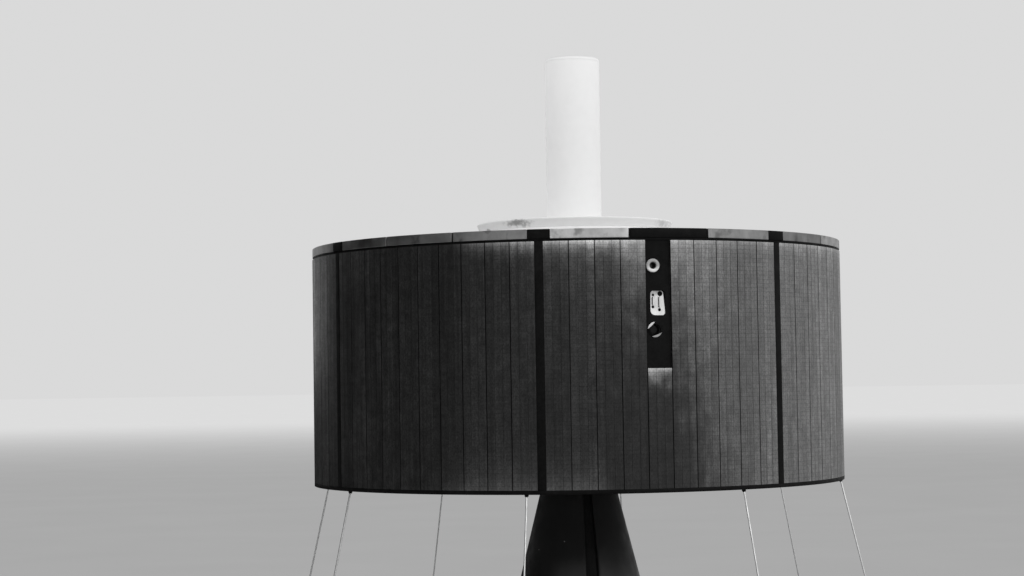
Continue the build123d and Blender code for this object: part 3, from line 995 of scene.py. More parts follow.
# %% A slab between outlines
def add_loop(mesh, outline, height):
    """Adds a closed outline of edges at a height and gives the edges."""
    verts = [mesh.verts.new((across, up, height)) for across, up in outline]
    return [mesh.edges.new(pair) for pair in zip(verts, verts[1:] + verts[:1])]


def add_slab(mesh, outlines, front, thickness):
    """Fills the space between closed outlines and gives it a thickness. Gives the new faces."""
    known = set(mesh.faces)
    loops = [edge for outline in outlines for edge in add_loop(mesh, outline, front)]
    filled = bmesh.ops.triangle_fill(mesh, use_beauty=True, use_dissolve=False, edges=loops)
    faces = [item for item in filled["geom"] if isinstance(item, bmesh.types.BMFace)]
    pushed = bmesh.ops.extrude_face_region(mesh, geom=faces, use_keep_orig=True)
    verts = [item for item in pushed["geom"] if isinstance(item, bmesh.types.BMVert)]
    bmesh.ops.translate(mesh, vec=(0.0, 0.0, -thickness), verts=verts)
    return set(mesh.faces) - known


# %% Sensor plate, in millimetres
block_front = -3.0
block_plate = 6.0
block_depth = 20.0
sensor_bevel = 0.25
bar_proud = 4.2
bar_sink = 0.5
# A corner is (across, up, radius), a hole (middle, radius) and a bar (across, low end, high end, radius).
block_corners = [(13.8, 29.2, 6.0), (-17.8, 29.2, 5.0), (-18.5, -29.2, 12.5), (19.0, -29.2, 1.2)]
block_holes = [((-11.6, 19.2), 3.1), ((-12.2, -9.4), 3.6), ((5.9, 22.3), 6.3), ((4.3, -16.2), 3.9)]
block_bars = [(-11.3, -4.6, 15.0, 2.2), (5.4, -11.0, 15.2, 2.7)]

# %% Sensor block
window_azimuth, _, window_height = place_of("sensor_block")
# Painted shade on the plate, darker towards its top and lighter at its foot: the two heights between which
# each changes, and its shade at each of them
top_shadow = (14.0 * millimetre, 30.0 * millimetre, 1.0, 0.42)
lit_foot = (-22.0 * millimetre, 2.0 * millimetre, 1.0, 0.82)
shadow_fray = 4.0 * millimetre


def shade_sensor(tree):
    """Gives the painted shade of the sensor's plate, darker towards its top under the window's edge and
    lighter at its foot.
    """
    fray = between(tree, noise(tree, 90.0, detail=4.0), -shadow_fray, shadow_fray)
    above = plus(tree, combine(tree, "SUBTRACT", cylinder_place(tree)[1], window_height), fray)
    return times(tree, spread(tree, above, *top_shadow, True), spread(tree, above, *lit_foot, True))


def is_level(face):
    """Tells whether a face lies flatter than it stands."""
    return abs(face.normal.z) > 0.5


sensor_metal = make_machined_metal("sensor_metal", 0.80, 0.94, (0.22, 0.4), make_shade=shade_sensor)
window_place = outward(window_azimuth, plate_face, window_height) @ Matrix.Scale(millimetre, 4)
block = bmesh.new()
block_outline = rounded_outline(block_corners)
holes = [hole_outline(*hole) for hole in block_holes]
add_slab(block, [block_outline, *holes], block_front, block_plate)
bar_faces = set()
for bar in block_bars:
    bar_faces |= add_slab(block, [bar_outline(*bar)], block_front + bar_proud, bar_proud + bar_sink)
dark_faces = add_slab(block, [block_outline], block_front - block_plate, block_depth - block_plate)
block.normal_update()
# The sides of the bars take black paint as painted shade, and the block behind takes it too
for face in block.faces:
    bar_side = face in bar_faces and not is_level(face)
    face.material_index = 1 if bar_side or face in dark_faces else 0
round_edges(block, sensor_bevel, segments=1)
bmesh.ops.transform(block, matrix=window_place, verts=block.verts)
finish_piece(block, "sensor_front", [sensor_metal, black_paint], "sensor_block")
dress_node("slot_plate", black_paint)

# %% [markdown]
# ## The sun port
#
# The sun sensor looks out of a flat metal cone. Black paint covers its front except for two crescents. The
# paint is a painted reflection, standing for the dark things that the metal mirrors there, so the bare metal
# shows only where its reflections are bright. The cone is turned round Z first. `bisect_plane` then cuts its
# faces along the straight edge of each crescent, and what lies beyond the cut is given the bare metal. Only
# then is the cone moved to the drum.

# %% Sun port
sun_azimuth, _, sun_height = place_of("sun_port_ring")
sun_place = outward(sun_azimuth, plate_face, sun_height)
sun_inner = 13.0 * millimetre
sun_barrel = 17.7 * millimetre
sun_outer = 18.2 * millimetre
sun_seat = 0.05 * millimetre
sun_edge = 1.0 * millimetre
sun_proud = 4.6 * millimetre
# A bright crescent is the angle of its direction from the middle and its straight edge's distance.
bright_crescents = [(133.0, 13.3 * millimetre), (291.0, 12.6 * millimetre)]
sun_ring = bmesh.new()
sun_outline = [
    (sun_inner, port_back),
    (sun_barrel, port_back),
    (sun_barrel, sun_seat),
    (sun_outer, sun_seat),
    (sun_outer, sun_edge),
    (sun_inner, sun_proud),
]
add_lathe(sun_ring, sun_outline, port_steps)
bmesh.ops.recalc_face_normals(sun_ring, faces=sun_ring.faces)
for angle, distance in bright_crescents:
    direction = Vector((math.cos(math.radians(angle)), math.sin(math.radians(angle)), 0.0))
    everything = [*sun_ring.verts, *sun_ring.edges, *sun_ring.faces]
    bmesh.ops.bisect_plane(sun_ring, geom=everything, plane_co=direction * distance, plane_no=direction)
    for face in sun_ring.faces:
        in_front = is_level(face) and face.normal.z > 0
        if in_front and face.calc_center_median().dot(direction) > distance:
            face.material_index = 1
bmesh.ops.transform(sun_ring, matrix=sun_place, verts=sun_ring.verts)
finish_piece(sun_ring, "sun_port_bezel", [black_paint, port_metal], "sun_port_ring")

# %% Sun sensor's glass
lens_radius = 12.7 * millimetre
lens_front = -8.0 * millimetre
lens_crown = 1.2 * millimetre
lens_thickness = 4.0 * millimetre
crown_steps = 6
lens_outline = [(0.0, lens_front - lens_thickness), (lens_radius, lens_front - lens_thickness)]
for step in range(crown_steps + 1):
    turn = step / crown_steps * math.pi / 2
    lens_outline.append((lens_radius * math.cos(turn), lens_front - lens_crown * (1 - math.sin(turn))))
turn_piece(
    "sun_lens",
    "lens_black",
    lens_glass,
    "sun_disc",
    lens_outline,
    inner_port_steps,
    place=sun_place,
)

# %% [markdown]
# ## Decks
#
# The decks that close the drum are honeycomb panels with thin aluminium faces. A panel like that can't hold
# a screw by itself, so it carries doublers: a ring at its rim, a ring round the cover, and a strap over each
# joint of its sheets. Each strap has a row of rivets. Two covers close the hand holes, and two round
# connectors take the test cables. The rings are small steps in the lathe outline. A strap or a hand hole's
# cover is a thin cube whose upright edges are beveled, and one matrix puts it at its azimuth on either deck.
# Flat bare metal only shows what it mirrors, so each sheet gets a tone of its own, as the plates of the top
# band do. Straps are paler, covers are darker, and the screws are dark steel.

# %% Materials: decks and inner parts
deck_metal = make_mottled_metal("deck_metal", 0.52, 0.64, (0.56, 0.7), 0.85, streak=(1.0, 0.05, 1.0))
tube_metal = make_machined_metal("tube_metal", 0.50, 0.64, (0.3, 0.45))
bolt_steel = make_machined_metal("bolt_steel", 0.42, 0.60, (0.25, 0.4), 400.0)
screw_steel = make_machined_metal("screw_steel", 0.10, 0.16, (0.4, 0.55), 400.0)
motor_case = make_white_paint("motor_case", 0.72, 0.60)
substrate = make_black_paint("substrate", 0.03, 0.06, (0.5, 0.7))
deck_finishes = [deck_metal, black_paint, screw_steel]
steel_number = 2
dress_node("drum_shell", substrate)
dress_node("thrust_tube", tube_metal)
dress_node("motor_block", motor_case)

# %% Sizes on the decks
sheet_spread = 0.09
ring_tone = 0.8
steps_per_sector = 24
deck_steps = steps_per_sector * sector_count
deck_turn = Matrix.Rotation(math.radians(first_batten_azimuth - 90), 4, "Z")
doubler_height = 0.8 * millimetre
doubler_width = 24.0 * millimetre
strap_width = 22.0 * millimetre
strap_height = 0.8 * millimetre
strap_corner = 5.0 * millimetre
strap_gap = 1.5 * millimetre
strap_tone = 1.3
strap_rivets = 12
hatch_across = 170.0 * millimetre
hatch_along = 110.0 * millimetre
hatch_height = 1.4 * millimetre
hatch_corner = 14.0 * millimetre
hatch_tone = 0.66
hatch_screw_inset = 8.0 * millimetre
hatch_screw_spots = [(across, along) for across in (-1.0, -0.33, 0.33, 1.0) for along in (-1.0, 1.0)]
hatch_screw_spots += [(-1.0, 0.0), (1.0, 0.0)]
plate_sunk = 0.2 * millimetre
plate_corner_steps = 5
deck_bevel = 0.3 * millimetre
# A screw's radius and its height
rivet = (2.0 * millimetre, 0.5 * millimetre)
hatch_screw = (2.6 * millimetre, 0.7 * millimetre)
deck_screw = (3.0 * millimetre, 0.9 * millimetre)


# %% Places and sheets on a deck
def deck_place(azimuth, radius, height, side):
    """Gives the matrix of a place on a deck, with +Z away from it. The side is 1 for up and -1 for down."""
    turn = Matrix.Rotation(math.radians(azimuth), 4, "Z")
    place = Matrix.Translation(polar(azimuth, radius, height)) @ turn
    return place if side > 0 else place @ upside_down


def tone_deck_sheets(mesh, inner, outer):
    """Gives the faces without a tone their sector's one, or the rings' one beyond two radii."""
    tone_layer = mesh.faces.layers.float["plate_tone"]
    tones = [vary(sheet_spread) for _ in range(sector_count)]
    for face in [face for face in mesh.faces if face[tone_layer] == 0.0]:
        middle = face.calc_center_median()
        azimuth = math.degrees(math.atan2(middle.x, -middle.y)) - first_batten_azimuth
        on_sheet = inner < middle.to_2d().length < outer
        face[tone_layer] = tones[int(azimuth % 360 / sector_angle)] if on_sheet else ring_tone


# %% Straps and hand holes' covers
def add_deck_plate(mesh, place, across, along, thickness, corner, tone):
    """Adds a thin plate with rounded corners that lies on a deck."""
    known = set(mesh.faces)
    size = Matrix.Diagonal((across, along, thickness + plate_sunk, 1.0))
    middle = Matrix.Translation((0.0, 0.0, (thickness - plate_sunk) / 2))
    made = bmesh.ops.create_cube(mesh, size=1.0, matrix=place @ middle @ size)["verts"]
    pairs = [(edge, edge.other_vert(vert).co.z - vert.co.z) for vert in made for edge in vert.link_edges]
    upright = [edge for edge, rise in pairs if rise > thickness / 2]
    bevel_edges(mesh, upright, corner, plate_corner_steps)
    tone_layer = mesh.faces.layers.float["plate_tone"]
    for face in set(mesh.faces) - known:
        face[tone_layer] = tone


def add_deck_plates(mesh, inner, outer, height, side, hatches):
    """Adds the straps between two radii and the hatch covers of a deck."""
    for sector in range(sector_count):
        place = deck_place(batten_azimuth(sector), (inner + outer) / 2, height, side)
        add_deck_plate(mesh, place, strap_width, outer - inner, strap_height, strap_corner, strap_tone)
    for azimuth, radius in hatches:
        place = deck_place(azimuth, radius, height, side)
        add_deck_plate(mesh, place, hatch_across, hatch_along, hatch_height, hatch_corner, hatch_tone)


# %% Screws of a deck
def add_deck_fasteners(mesh, inner, outer, height, side, hatches):
    """Adds the rivets of the straps and the screws of the hatch covers."""
    for sector in range(sector_count):
        for number in range(strap_rivets):
            radius = inner + (outer - inner) * (number + 0.5) / strap_rivets
            place = deck_place(batten_azimuth(sector), radius, height + side * strap_height, side)
            add_screw(mesh, place, *rivet, steel_number)
    reach_across, reach_along = hatch_across / 2 - hatch_screw_inset, hatch_along / 2 - hatch_screw_inset
    for azimuth, radius in hatches:
        for across, along in hatch_screw_spots:
            shift = Matrix.Translation((across * reach_across, along * reach_along, hatch_height))
            add_screw(mesh, deck_place(azimuth, radius, height, side) @ shift, *hatch_screw, steel_number)


def add_screw_circle(mesh, count, radius, height, side=1, start=0.0, screw=deck_screw):
    """Adds a circle of screws to a deck or a cover. The start is a share of the step between them."""
    for number in range(count):
        place = deck_place((number + start) * 360 / count, radius, height, side)
        add_screw(mesh, place, *screw, steel_number)


# %% Connectors
connector_flange = 26.0 * millimetre
connector_flange_height = 2.0 * millimetre
connector_shell = 17.0 * millimetre
connector_wall = 2.0 * millimetre
connector_height = 9.0 * millimetre
connector_steps = 48
connector_screws = 6
connector_screw = (1.8 * millimetre, 0.5 * millimetre)


def add_connector(mesh, place):
    """Adds a round connector with a capped shell, and paints the shell black."""
    known = set(mesh.faces)
    outline = [
        (0.0, -plate_sunk),
        (connector_flange, -plate_sunk),
        (connector_flange, connector_flange_height),
        (connector_shell, connector_flange_height),
        (connector_shell, connector_height),
        (connector_shell - connector_wall, connector_height),
        (connector_shell - 1.25 * connector_wall, connector_height - connector_wall),
        (0.0, connector_height - connector_wall),
    ]
    add_lathe(mesh, outline, connector_steps, place)
    tone_layer = mesh.faces.layers.float["plate_tone"]
    for face in set(mesh.faces) - known:
        above_deck = (place.inverted() @ face.calc_center_median()).z
        face.material_index = 1 if above_deck > connector_height / 2 else 0
        face[tone_layer] = strap_tone
    shift = Matrix.Translation(((connector_flange + connector_shell) / 2, 0.0, connector_flange_height))
    for number in range(connector_screws):
        turn = Matrix.Rotation(math.tau * number / connector_screws, 4, "Z")
        add_screw(mesh, place @ turn @ shift, *connector_screw, steel_number)


# %% Making a deck
def make_deck(name, node, outline, sheet_inner, straps, hatches, connectors, circles):
    """Makes a deck with all that lies on it.

    The straps give their two radii, the deck's height and its side, 1 for up. A hatch or a connector is its
    azimuth and radius, and a circle of screws its count, radius and height.
    """
    _, strap_outer, height, side = straps
    mesh = bmesh.new()
    mesh.faces.layers.float.new("plate_tone")
    add_lathe(mesh, outline, deck_steps, deck_turn)
    add_deck_plates(mesh, *straps, hatches)
    round_edges(mesh, deck_bevel, segments=1)
    tone_deck_sheets(mesh, sheet_inner, strap_outer + strap_gap)
    add_deck_fasteners(mesh, *straps, hatches)
    for azimuth, radius in connectors:
        add_connector(mesh, deck_place(azimuth, radius, height, side))
    for circle in circles:
        add_screw_circle(mesh, *circle, side)
    finish_piece(mesh, name, deck_finishes, node)


# %% Forward deck
deck_radius = reach("forward_deck")
deck_low, deck_high = levels("forward_deck")
cover_radius = reach("cover_skirt")
flange_inner = cover_radius - 2.0 * millimetre
flange_outer = cover_radius + 18.0 * millimetre
flange_height = deck_high + 2 * doubler_height
doubler_inner = deck_radius - doubler_width
deck_screws = 42
flange_screws = 24
make_deck(
    "forward_deck_skin",
    "forward_deck",
    [
        (0.0, deck_low),
        (deck_radius, deck_low),
        (deck_radius, deck_high + doubler_height),
        (doubler_inner, deck_high + doubler_height),
        (doubler_inner, deck_high),
        (flange_outer, deck_high),
        (flange_outer, flange_height),
        (flange_inner, flange_height),
        (flange_inner, deck_high),
        (0.0, deck_high),
    ],
    sheet_inner=flange_outer,
    straps=(flange_outer + strap_gap, doubler_inner - strap_gap, deck_high, 1),
    hatches=[(70.0, 0.49), (-128.0, 0.49)],
    connectors=[(-28.0, 0.60), (152.0, 0.60)],
    circles=[
        (deck_screws, deck_radius - doubler_width / 2, deck_high + doubler_height),
        (flange_screws, (cover_radius + flange_outer) / 2, flange_height),
    ],
)

# %% Aft deck
aft_radius = reach("aft_deck")
aft_low, aft_high = levels("aft_deck")
aft_opening = 90.0 * millimetre
aft_strap_inner = 150.0 * millimetre
aft_doubler_inner = aft_radius - doubler_width
make_deck(
    "aft_deck_skin",
    "aft_deck",
    [
        (aft_opening, aft_low),
        (aft_doubler_inner, aft_low),
        (aft_doubler_inner, aft_low - doubler_height),
        (aft_radius, aft_low - doubler_height),
        (aft_radius, aft_high),
        (aft_opening, aft_high),
    ],
    sheet_inner=0.0,
    straps=(aft_strap_inner, aft_doubler_inner - strap_gap, aft_low, -1),
    hatches=[(38.0, 0.45), (-142.0, 0.45)],
    connectors=[(-72.0, 0.36), (108.0, 0.36)],
    circles=[(deck_screws, aft_radius - doubler_width / 2, aft_low - doubler_height)],
)

# %% [markdown]
# ## The cover on top
#
# The round cover is thin sheet, painted white. Its skirt and its pan are separate sheets, and the pan's wall
# flares outwards into a rounded lip. Hands have left marks on the side, and one mark is a painted shadow
# under the left end of the lip. The top is darker, as dust and as painted shade that evens out the stronger
# light from above. A mark is the distance from a point on the cover, made uneven by noise: near the point
# the paint is greyer.

# %% Materials: cover
# A mark is its azimuth, its height, its length and the grey in its middle.
hand_marks_and_shadow = [
    (-34.5, 1.685, 0.046, 0.4),
    (-64.0, 1.672, 0.026, 0.45),
    # This mark is a painted shadow under the left end of the lip
    (-84.0, 1.674, 0.012, 0.35),
    (64.0, 1.684, 0.05, 0.75),
    (158.0, 1.68, 0.05, 0.5),
]
mark_flatness = 3.4
mark_core = 0.1
mark_fray = 0.35
smudge_shift = (0.7, 0.1, 0.0)


def make_smudged_paint(name, clean, smudge_grey, marks=()):
    """Makes pale paint with soft smudges and the given marks."""
    material, tree, shader = start_material(name, Specular_IOR_Level=0.3)
    dirt = between(tree, noise(tree, 60.0, detail=4.0), clean, clean * 0.97)
    patch = noise(tree, 16.0, stretch=(1.0, 1.0, 1.4), detail=2.0, shift=smudge_shift)
    clean_share = spread(tree, patch, 0.62, 0.76, 1.0, smudge_grey, True)
    place = object_place(tree)
    for azimuth, height, length, mark_grey in marks:
        centre = polar(azimuth, cover_radius, height)
        shifted = add_node(tree, "VectorMath", {0: place, 1: centre}, operation="SUBTRACT").outputs["Vector"]
        flat = add_node(tree, "VectorMath", {0: shifted, 1: (1.0, 1.0, mark_flatness)}, operation="MULTIPLY")
        distance = add_node(tree, "VectorMath", {0: flat.outputs["Vector"]}, operation="LENGTH")
        fray = between(tree, noise(tree, 75.0, detail=3.0), -mark_fray * length, mark_fray * length)
        uneven = plus(tree, distance.outputs["Value"], fray)
        mark = spread(tree, uneven, mark_core * length, length, mark_grey, 1.0, True)
        clean_share = times(tree, clean_share, mark)
    set_finish(tree, shader, times(tree, dirt, clean_share), between(tree, noise(tree, 30.0), 0.5, 0.65))
    return material


cover_foil = make_smudged_paint("cover_foil", 0.94, 0.9)
cover_metal = make_smudged_paint("cover_metal", 0.94, 0.88, hand_marks_and_shadow)
# The top's paint is darker, as dust and as painted shade that evens out the stronger light from above
cover_dust_and_shade = make_white_paint("cover_dust_and_shade", 0.64, 0.54, (0.55, 0.7), 5.0)

# %% Cover's skirt
cover_steps = 144
cover_bevel = 0.8 * millimetre
sheet = 4.0 * millimetre
inner_skirt = cover_radius - sheet
skirt_section = rectangle(inner_skirt, cover_radius, *levels("cover_skirt"))
turn_piece("cover_side", "cover_foil", cover_foil, "cover_skirt", skirt_section, cover_steps, cover_bevel)

# %% Sizes of the cover's pan
pan_low, pan_high = levels("cover_pan")
lip_radius = reach("cover_pan")
lip_thickness = 3.0 * millimetre
lip_flare = lip_radius - cover_radius
flare_steps = 8
flare_curve = 1.25
flare_height = pan_high - lip_thickness - pan_low
groove_inset = 9.0 * millimetre
groove_width = 16.0 * millimetre
groove_depth = 1.2 * millimetre
groove_outer = lip_radius - groove_inset
groove_inner = groove_outer - groove_width
groove_floor = pan_high - groove_depth
pan_screws = 20
pan_screw = (3.0 * millimetre, 0.8 * millimetre)

# %% Cover's pan
pan = bmesh.new()
pan_outline = [
    (0.0, pan_high - sheet),
    (inner_skirt, pan_high - sheet),
    (inner_skirt, pan_low),
    (cover_radius, pan_low),
]
for step in range(1, flare_steps + 1):
    share = step / flare_steps
    pan_outline.append((cover_radius + lip_flare * share**flare_curve, pan_low + flare_height * share))
pan_outline += [
    (lip_radius, pan_high),
    (groove_outer, pan_high),
    (groove_outer - groove_depth, groove_floor),
    (groove_inner + groove_depth, groove_floor),
    (groove_inner, pan_high),
    (0.0, pan_high),
]
add_lathe(pan, pan_outline, cover_steps)
round_edges(pan, cover_bevel, sharper_than=50.0)
pan.normal_update()
# The top faces take that darker paint
for face in pan.faces:
    on_top = is_level(face) and face.calc_center_median().z > pan_high - sheet / 2
    face.material_index = 1 if on_top else 0
screw_circle = (groove_outer + groove_inner) / 2
add_screw_circle(pan, pan_screws, screw_circle, groove_floor, start=0.5, screw=pan_screw)
finish_piece(pan, "cover_top", [cover_metal, cover_dust_and_shade, screw_steel], "cover_pan")

# %% [markdown]
# ## The white antenna
#
# The antenna is a white tube with a shallow domed cap and a collar at its foot. The tube is closed by the
# cap, so only its outside shows. The paint darkens over the cap's last few millimetres, as dust and as
# painted shade that evens out the stronger light from above.

# %% Paint of the antenna
antenna_radius = reach("antenna_tube")
cap_low, cap_high = levels("antenna_cap")
cap_shade_low = cap_high - 8.0 * millimetre
cap_shade_high = cap_high - 1.0 * millimetre
cap_dust_and_shade = 0.66


def shade_cap(tree):
    """Gives the darkening of the antenna's cap, as dust and as painted shade against the light from above.
    """
    return spread(tree, cylinder_place(tree)[1], cap_shade_low, cap_shade_high, 1.0, cap_dust_and_shade, True)


antenna_white = make_white_paint("antenna_white", 0.92, 0.89, (0.62, 0.78), 3.0, shade_cap)
antenna_finish = ("antenna_white", antenna_white)

# %% Antenna's tube
tube_wall = 3.0 * millimetre
tube_bevel = 0.4 * millimetre
tube_section = rectangle(antenna_radius - tube_wall, antenna_radius, *levels("antenna_tube"))
turn_piece("antenna_body", *antenna_finish, "antenna_tube", tube_section, bevel=tube_bevel)

# %% Antenna's collar
collar_radius = reach("antenna_collar")
collar_low, collar_high = levels("antenna_collar")
collar_bore = antenna_radius + 0.3 * millimetre
collar_slope = (collar_high - collar_low) / 2
collar_bevel = 0.5 * millimetre
collar_outline = [
    (collar_bore, collar_low),
    (collar_radius, collar_low),
    (collar_radius, collar_high - collar_slope),
    (collar_radius - collar_slope, collar_high),
    (collar_bore, collar_high),
]
turn_piece("antenna_foot_ring", *antenna_finish, "antenna_collar", collar_outline, bevel=collar_bevel)

# %% Antenna's cap
cap_round = 10.5 * millimetre
cap_round_steps = 8
cap = bmesh.new()
add_lathe(cap, rectangle(0.0, antenna_radius, cap_low, cap_high))
sharp = [edge for edge in cap.edges if edge.calc_face_angle(0.0) > math.radians(60)]
top_ring = [edge for edge in sharp if edge.verts[0].co.z > (cap_low + cap_high) / 2]
bevel_edges(cap, top_ring, cap_round, cap_round_steps)
finish_piece(cap, "antenna_dome", [antenna_white], "antenna_cap")

# %% [markdown]
# ## Whip antennas
#
# Eight thin rods splay outwards from sockets under the rim. One rod is a lathe shape with a rounded tip.
# Its matrix tilts it away from straight down, and a loop places all eight.

# %% Whips
whip_metal = make_machined_metal("whip_metal", 0.72, 0.88, (0.4, 0.6))
whip_count = 8
first_whip_azimuth = -10.2
whip_tilt = 13.0
whip_radius = 2.2 * millimetre
whip_length = 520.0 * millimetre
root_radius = 5.0 * millimetre
root_length = 6.0 * millimetre
rod_steps = 12
root_steps = 24


def whip_place(number):
    """Gives the matrix that turns +Z into a whip's direction, at its place under the rim."""
    azimuth = first_whip_azimuth + number * 360 / whip_count
    foot = Matrix.Translation(polar(azimuth, rim_middle, rim_low))
    about_z = Matrix.Rotation(math.radians(azimuth), 4, "Z")
    return foot @ about_z @ Matrix.Rotation(math.radians(180 - whip_tilt), 4, "X")


whip_end = root_length + whip_length
rod_outline = [
    (0.0, root_length),
    (whip_radius, root_length),
    (whip_radius, whip_end - whip_radius),
    (whip_radius * 0.7, whip_end - whip_radius * 0.3),
    (0.0, whip_end),
]
root_outline = [
    (0.0, 0.0),
    (root_radius, 0.0),
    (root_radius, root_length * 0.55),
    (root_radius * 0.6, root_length),
    (0.0, root_length),
]
rods, roots = bmesh.new(), bmesh.new()
for number in range(whip_count):
    add_lathe(rods, rod_outline, rod_steps, whip_place(number))
    add_lathe(roots, root_outline, root_steps, whip_place(number))
finish_piece(rods, "whip_rods", [whip_metal], "whip_antennas")
finish_piece(roots, "whip_sockets", [black_paint], "whip_roots")

# %% [markdown]
# ## The separation ring and its bolts
#
# The flanged ring under the drum is what a launcher would hold. Here it is bolted to the stand's head.

# %% Separation ring
ring_low, ring_high = levels("separation_ring")
ring_flange = reach("separation_ring")
ring_outer = 110.0 * millimetre
ring_inner = 102.0 * millimetre
ring_flange_top = ring_low + 8.0 * millimetre
flange_bevel = 0.8 * millimetre
stand_steps = 120
adapter_outline = [
    (ring_inner, ring_low),
    (ring_flange, ring_low),
    (ring_flange, ring_flange_top),
    (ring_outer, ring_flange_top),
    (ring_outer, ring_high),
    (ring_inner, ring_high),
]
turn_piece(
    "separation_flange",
    "tube_metal",
    tube_metal,
    "separation_ring",
    adapter_outline,
    stand_steps,
    flange_bevel,
)
dress_node("joint_bolts", bolt_steel)

# %% [markdown]
# ## The stand
#
# The stand is a tapered column on a round foot: three curved cladding plates round a core, with dark
# channels between them. The core is a lathe shape. A cladding plate is the slanting cross-section of a thin
# wall, spun through part of a turn, just as the solar boards are, but with a slope.

# %% Material: stand paint
# A painted pool of sunlight low on the stand's front and right, below the drum's shadow
sunlit_top = 0.805
sunlit_full = 0.745
sunlit_side = (-34.0, -16.0)
sunlit_grey = 0.018
sunlit_fray = 20.0 * millimetre


def make_stand_paint():
    """Makes the stand's black paint, chipped in places, with a painted pool of sunlight low on its front and
    right.
    """
    material, tree, shader = start_material("stand_paint", Specular_IOR_Level=0.15)
    clouds = between(tree, noise(tree, 7.0, detail=5.0), 0.005, 0.009)
    azimuth, height = cylinder_place(tree)
    fray = between(tree, noise(tree, 11.0, stretch=(1.0, 1.0, 0.3), detail=6.0), -sunlit_fray, sunlit_fray)
    pale_patches = spread(tree, plus(tree, height, fray), sunlit_top, sunlit_full, 0.0, sunlit_grey, True)
    pale_patches = times(tree, pale_patches, spread(tree, azimuth, *sunlit_side, 0.0, 1.0, True))
    inputs = {"Vector": object_place(tree), "Scale": 55.0, "Randomness": 1.0}
    spots = add_node(tree, "TexVoronoi", inputs).outputs["Distance"]
    few = spread(tree, noise(tree, 21.0), 0.58, 0.64, 0.0, 0.22)
    chips = times(tree, spread(tree, spots, 0.05, 0.09, 1.0, 0.0), few)
    rough = between(tree, noise(tree, 30.0, detail=4.0), 0.42, 0.62)
    set_finish(tree, shader, plus(tree, clouds, pale_patches, chips), rough)
    add_bump(tree, shader, noise(tree, 700.0), 0.06 * millimetre)
    return material


stand_paint = make_stand_paint()

# %% Column of the stand
column_low, column_high = levels("stand_core")
taper = math.tan(math.radians(14.0))
neck_radius = 101.0 * millimetre
cladding_thickness = 10.0 * millimetre
core_wall = 5.0 * millimetre
cladding_count = 3
cladding_pitch = 360 / cladding_count
cladding_gap = 13.0
first_gap = 12.5
cladding_steps = 60
cladding_bevel = 2.5 * millimetre


def slanted_wall(top_radius, thickness):
    """Gives the corners of the slanting wall's cross-section, as (radius, height)."""
    foot_radius = top_radius + (column_high - column_low) * taper
    return [
        (top_radius, column_high),
        (foot_radius, column_low),
        (foot_radius - thickness, column_low),
        (top_radius - thickness, column_high),
    ]


core_section = slanted_wall(neck_radius - cladding_thickness, core_wall)
turn_piece("column_core", "stand_paint", black_paint, "stand_core", core_section, stand_steps)

cladding = bmesh.new()
cladding_section = slanted_wall(neck_radius, cladding_thickness)
for number in range(cladding_count):
    azimuth = first_gap + (number + 0.5) * cladding_pitch
    add_curved_wall(cladding, cladding_section, azimuth, cladding_pitch - cladding_gap, cladding_steps)
round_edges(cladding, cladding_bevel, segments=3)
finish_piece(cladding, "column_cladding", [stand_paint], "stand_cladding")

# %% Stand's head and foot
head_bevel = 1.6 * millimetre
head_section = rectangle(0.0, reach("stand_head"), *levels("stand_head"))
turn_piece(
    "column_head",
    "stand_paint",
    stand_paint,
    "stand_head",
    head_section,
    stand_steps,
    head_bevel,
    segments=3,
)
dress_node("stand_foot", stand_paint)

# %% [markdown]
# ## Floor and backdrop
#
# The floor is wide and pale, and far away it turns as light as the sky, so no hard horizon shows. The world
# is pale for the camera and for reflections, and gives a plain even light to everything else.

# %% Floor
floor_grey = 0.36
sky_grey = 0.70
fill_level = 1.08
floor_radius = 400.0
floor_steps = 96
fade_start = 22.0
fade_end = 75.0


def make_floor_material():
    """Makes a matte floor that turns as light as the sky far away."""
    material, tree, shader = start_material("floor", Specular_IOR_Level=0.0, Roughness=1.0)
    distance = add_node(tree, "VectorMath", {0: object_place(tree)}, operation="LENGTH").outputs["Value"]
    grey = spread(tree, distance, fade_start, fade_end, floor_grey, sky_grey / fill_level, True)
    patches = between(tree, noise(tree, 0.9, detail=6.0), 0.985, 1.015)
    tree.links.new(times(tree, grey, patches), shader.inputs["Base Color"])
    return material


floor_mesh = bmesh.new()
bmesh.ops.create_circle(floor_mesh, cap_ends=True, segments=floor_steps, radius=floor_radius)
floor = add_object("floor", take_mesh(floor_mesh, "floor"))
floor.data.materials.append(make_floor_material())

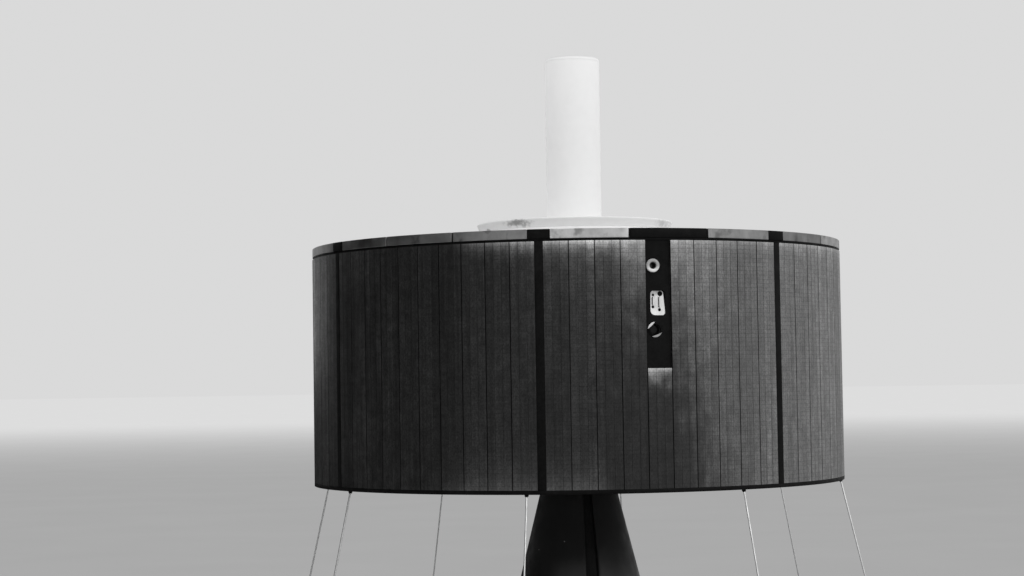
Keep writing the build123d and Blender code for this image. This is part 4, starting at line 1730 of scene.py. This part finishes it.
# %% World
world = bpy.data.worlds.new("world")
world.use_nodes = True
scene.world = world
tree = world.node_tree
backdrop = add_node(tree, "Background", {"Color": (sky_grey, sky_grey, sky_grey, 1.0), "Strength": 1.0})
fill = add_node(tree, "Background", {"Color": (1.0, 1.0, 1.0, 1.0), "Strength": fill_level})
rays = add_node(tree, "LightPath", {}).outputs
seen = combine(tree, "MAXIMUM", rays["Is Camera Ray"], rays["Is Glossy Ray"], rays["Is Transmission Ray"])
shaders = {"Fac": seen, 1: fill.outputs["Background"], 2: backdrop.outputs["Background"]}
mixed = add_node(tree, "MixShader", shaders)
tree.links.new(mixed.outputs["Shader"], tree.nodes["World Output"].inputs["Surface"])

# %% [markdown]
# ## Lights
#
# A dark glossy drum is lit by what it mirrors. A sun lamp from the right, low as in the photograph, gives
# the shadow and the broad sheen on the right half. A long soft box beside it widens that sheen, and black
# cards at the left and behind keep the sky out of the other half, as a photographer does with dark objects.
# The box and the cards work on reflections alone: camera and diffuse rays don't see them.

# %% Sun
sun_bearing = 48.0
sun_elevation = math.radians(17.0)
sun_strength = 0.4
sun_softness = math.radians(5.0)
sun_data = bpy.data.lights.new("sun", "SUN")
sun_data.energy = sun_strength
sun_data.angle = sun_softness
sun = add_object("sun", sun_data)
toward_sun = polar(sun_bearing, math.cos(sun_elevation), math.sin(sun_elevation))
sun.rotation_euler = toward_sun.to_track_quat("Z", "Y").to_euler()

# %% Card and soft box
card_radius = 4.2
card_steps = 24
# Each card: its name, its lowest and highest Z, the azimuths where it starts and ends, and its light
cards = [
    ("black_card", 0.0, 4.5, -125.0, -38.0, 0.0),
    ("low_black_card", 0.0, 1.33, -180.0, -125.0, 0.0),
    ("soft_box", 2.0, 3.4, 30.0, 110.0, 1.0),
]


def make_curved_card(name, low, high, start, end, level):
    """Makes a curved card round the stage that only reflections see, and that gives light at a level."""
    mesh = bmesh.new()
    first = mesh.verts.new(polar(start, card_radius, low))
    second = mesh.verts.new(polar(start, card_radius, high))
    edge = mesh.edges.new((first, second))
    spin_about_z(mesh, [edge, first, second], math.radians(end - start), card_steps)
    material = bpy.data.materials.new(name)
    material.use_nodes = True
    tree = material.node_tree
    tree.nodes.remove(tree.nodes["Principled BSDF"])
    glow = add_node(tree, "Emission", {"Color": (1.0, 1.0, 1.0, 1.0), "Strength": level})
    tree.links.new(glow.outputs["Emission"], tree.nodes["Material Output"].inputs["Surface"])
    card = add_object(name, take_mesh(mesh, name))
    card.data.materials.append(material)
    card.visible_camera = False
    card.visible_diffuse = False
    card.visible_shadow = False


for card in cards:
    make_curved_card(*card)

scene.view_settings.view_transform = "Standard"
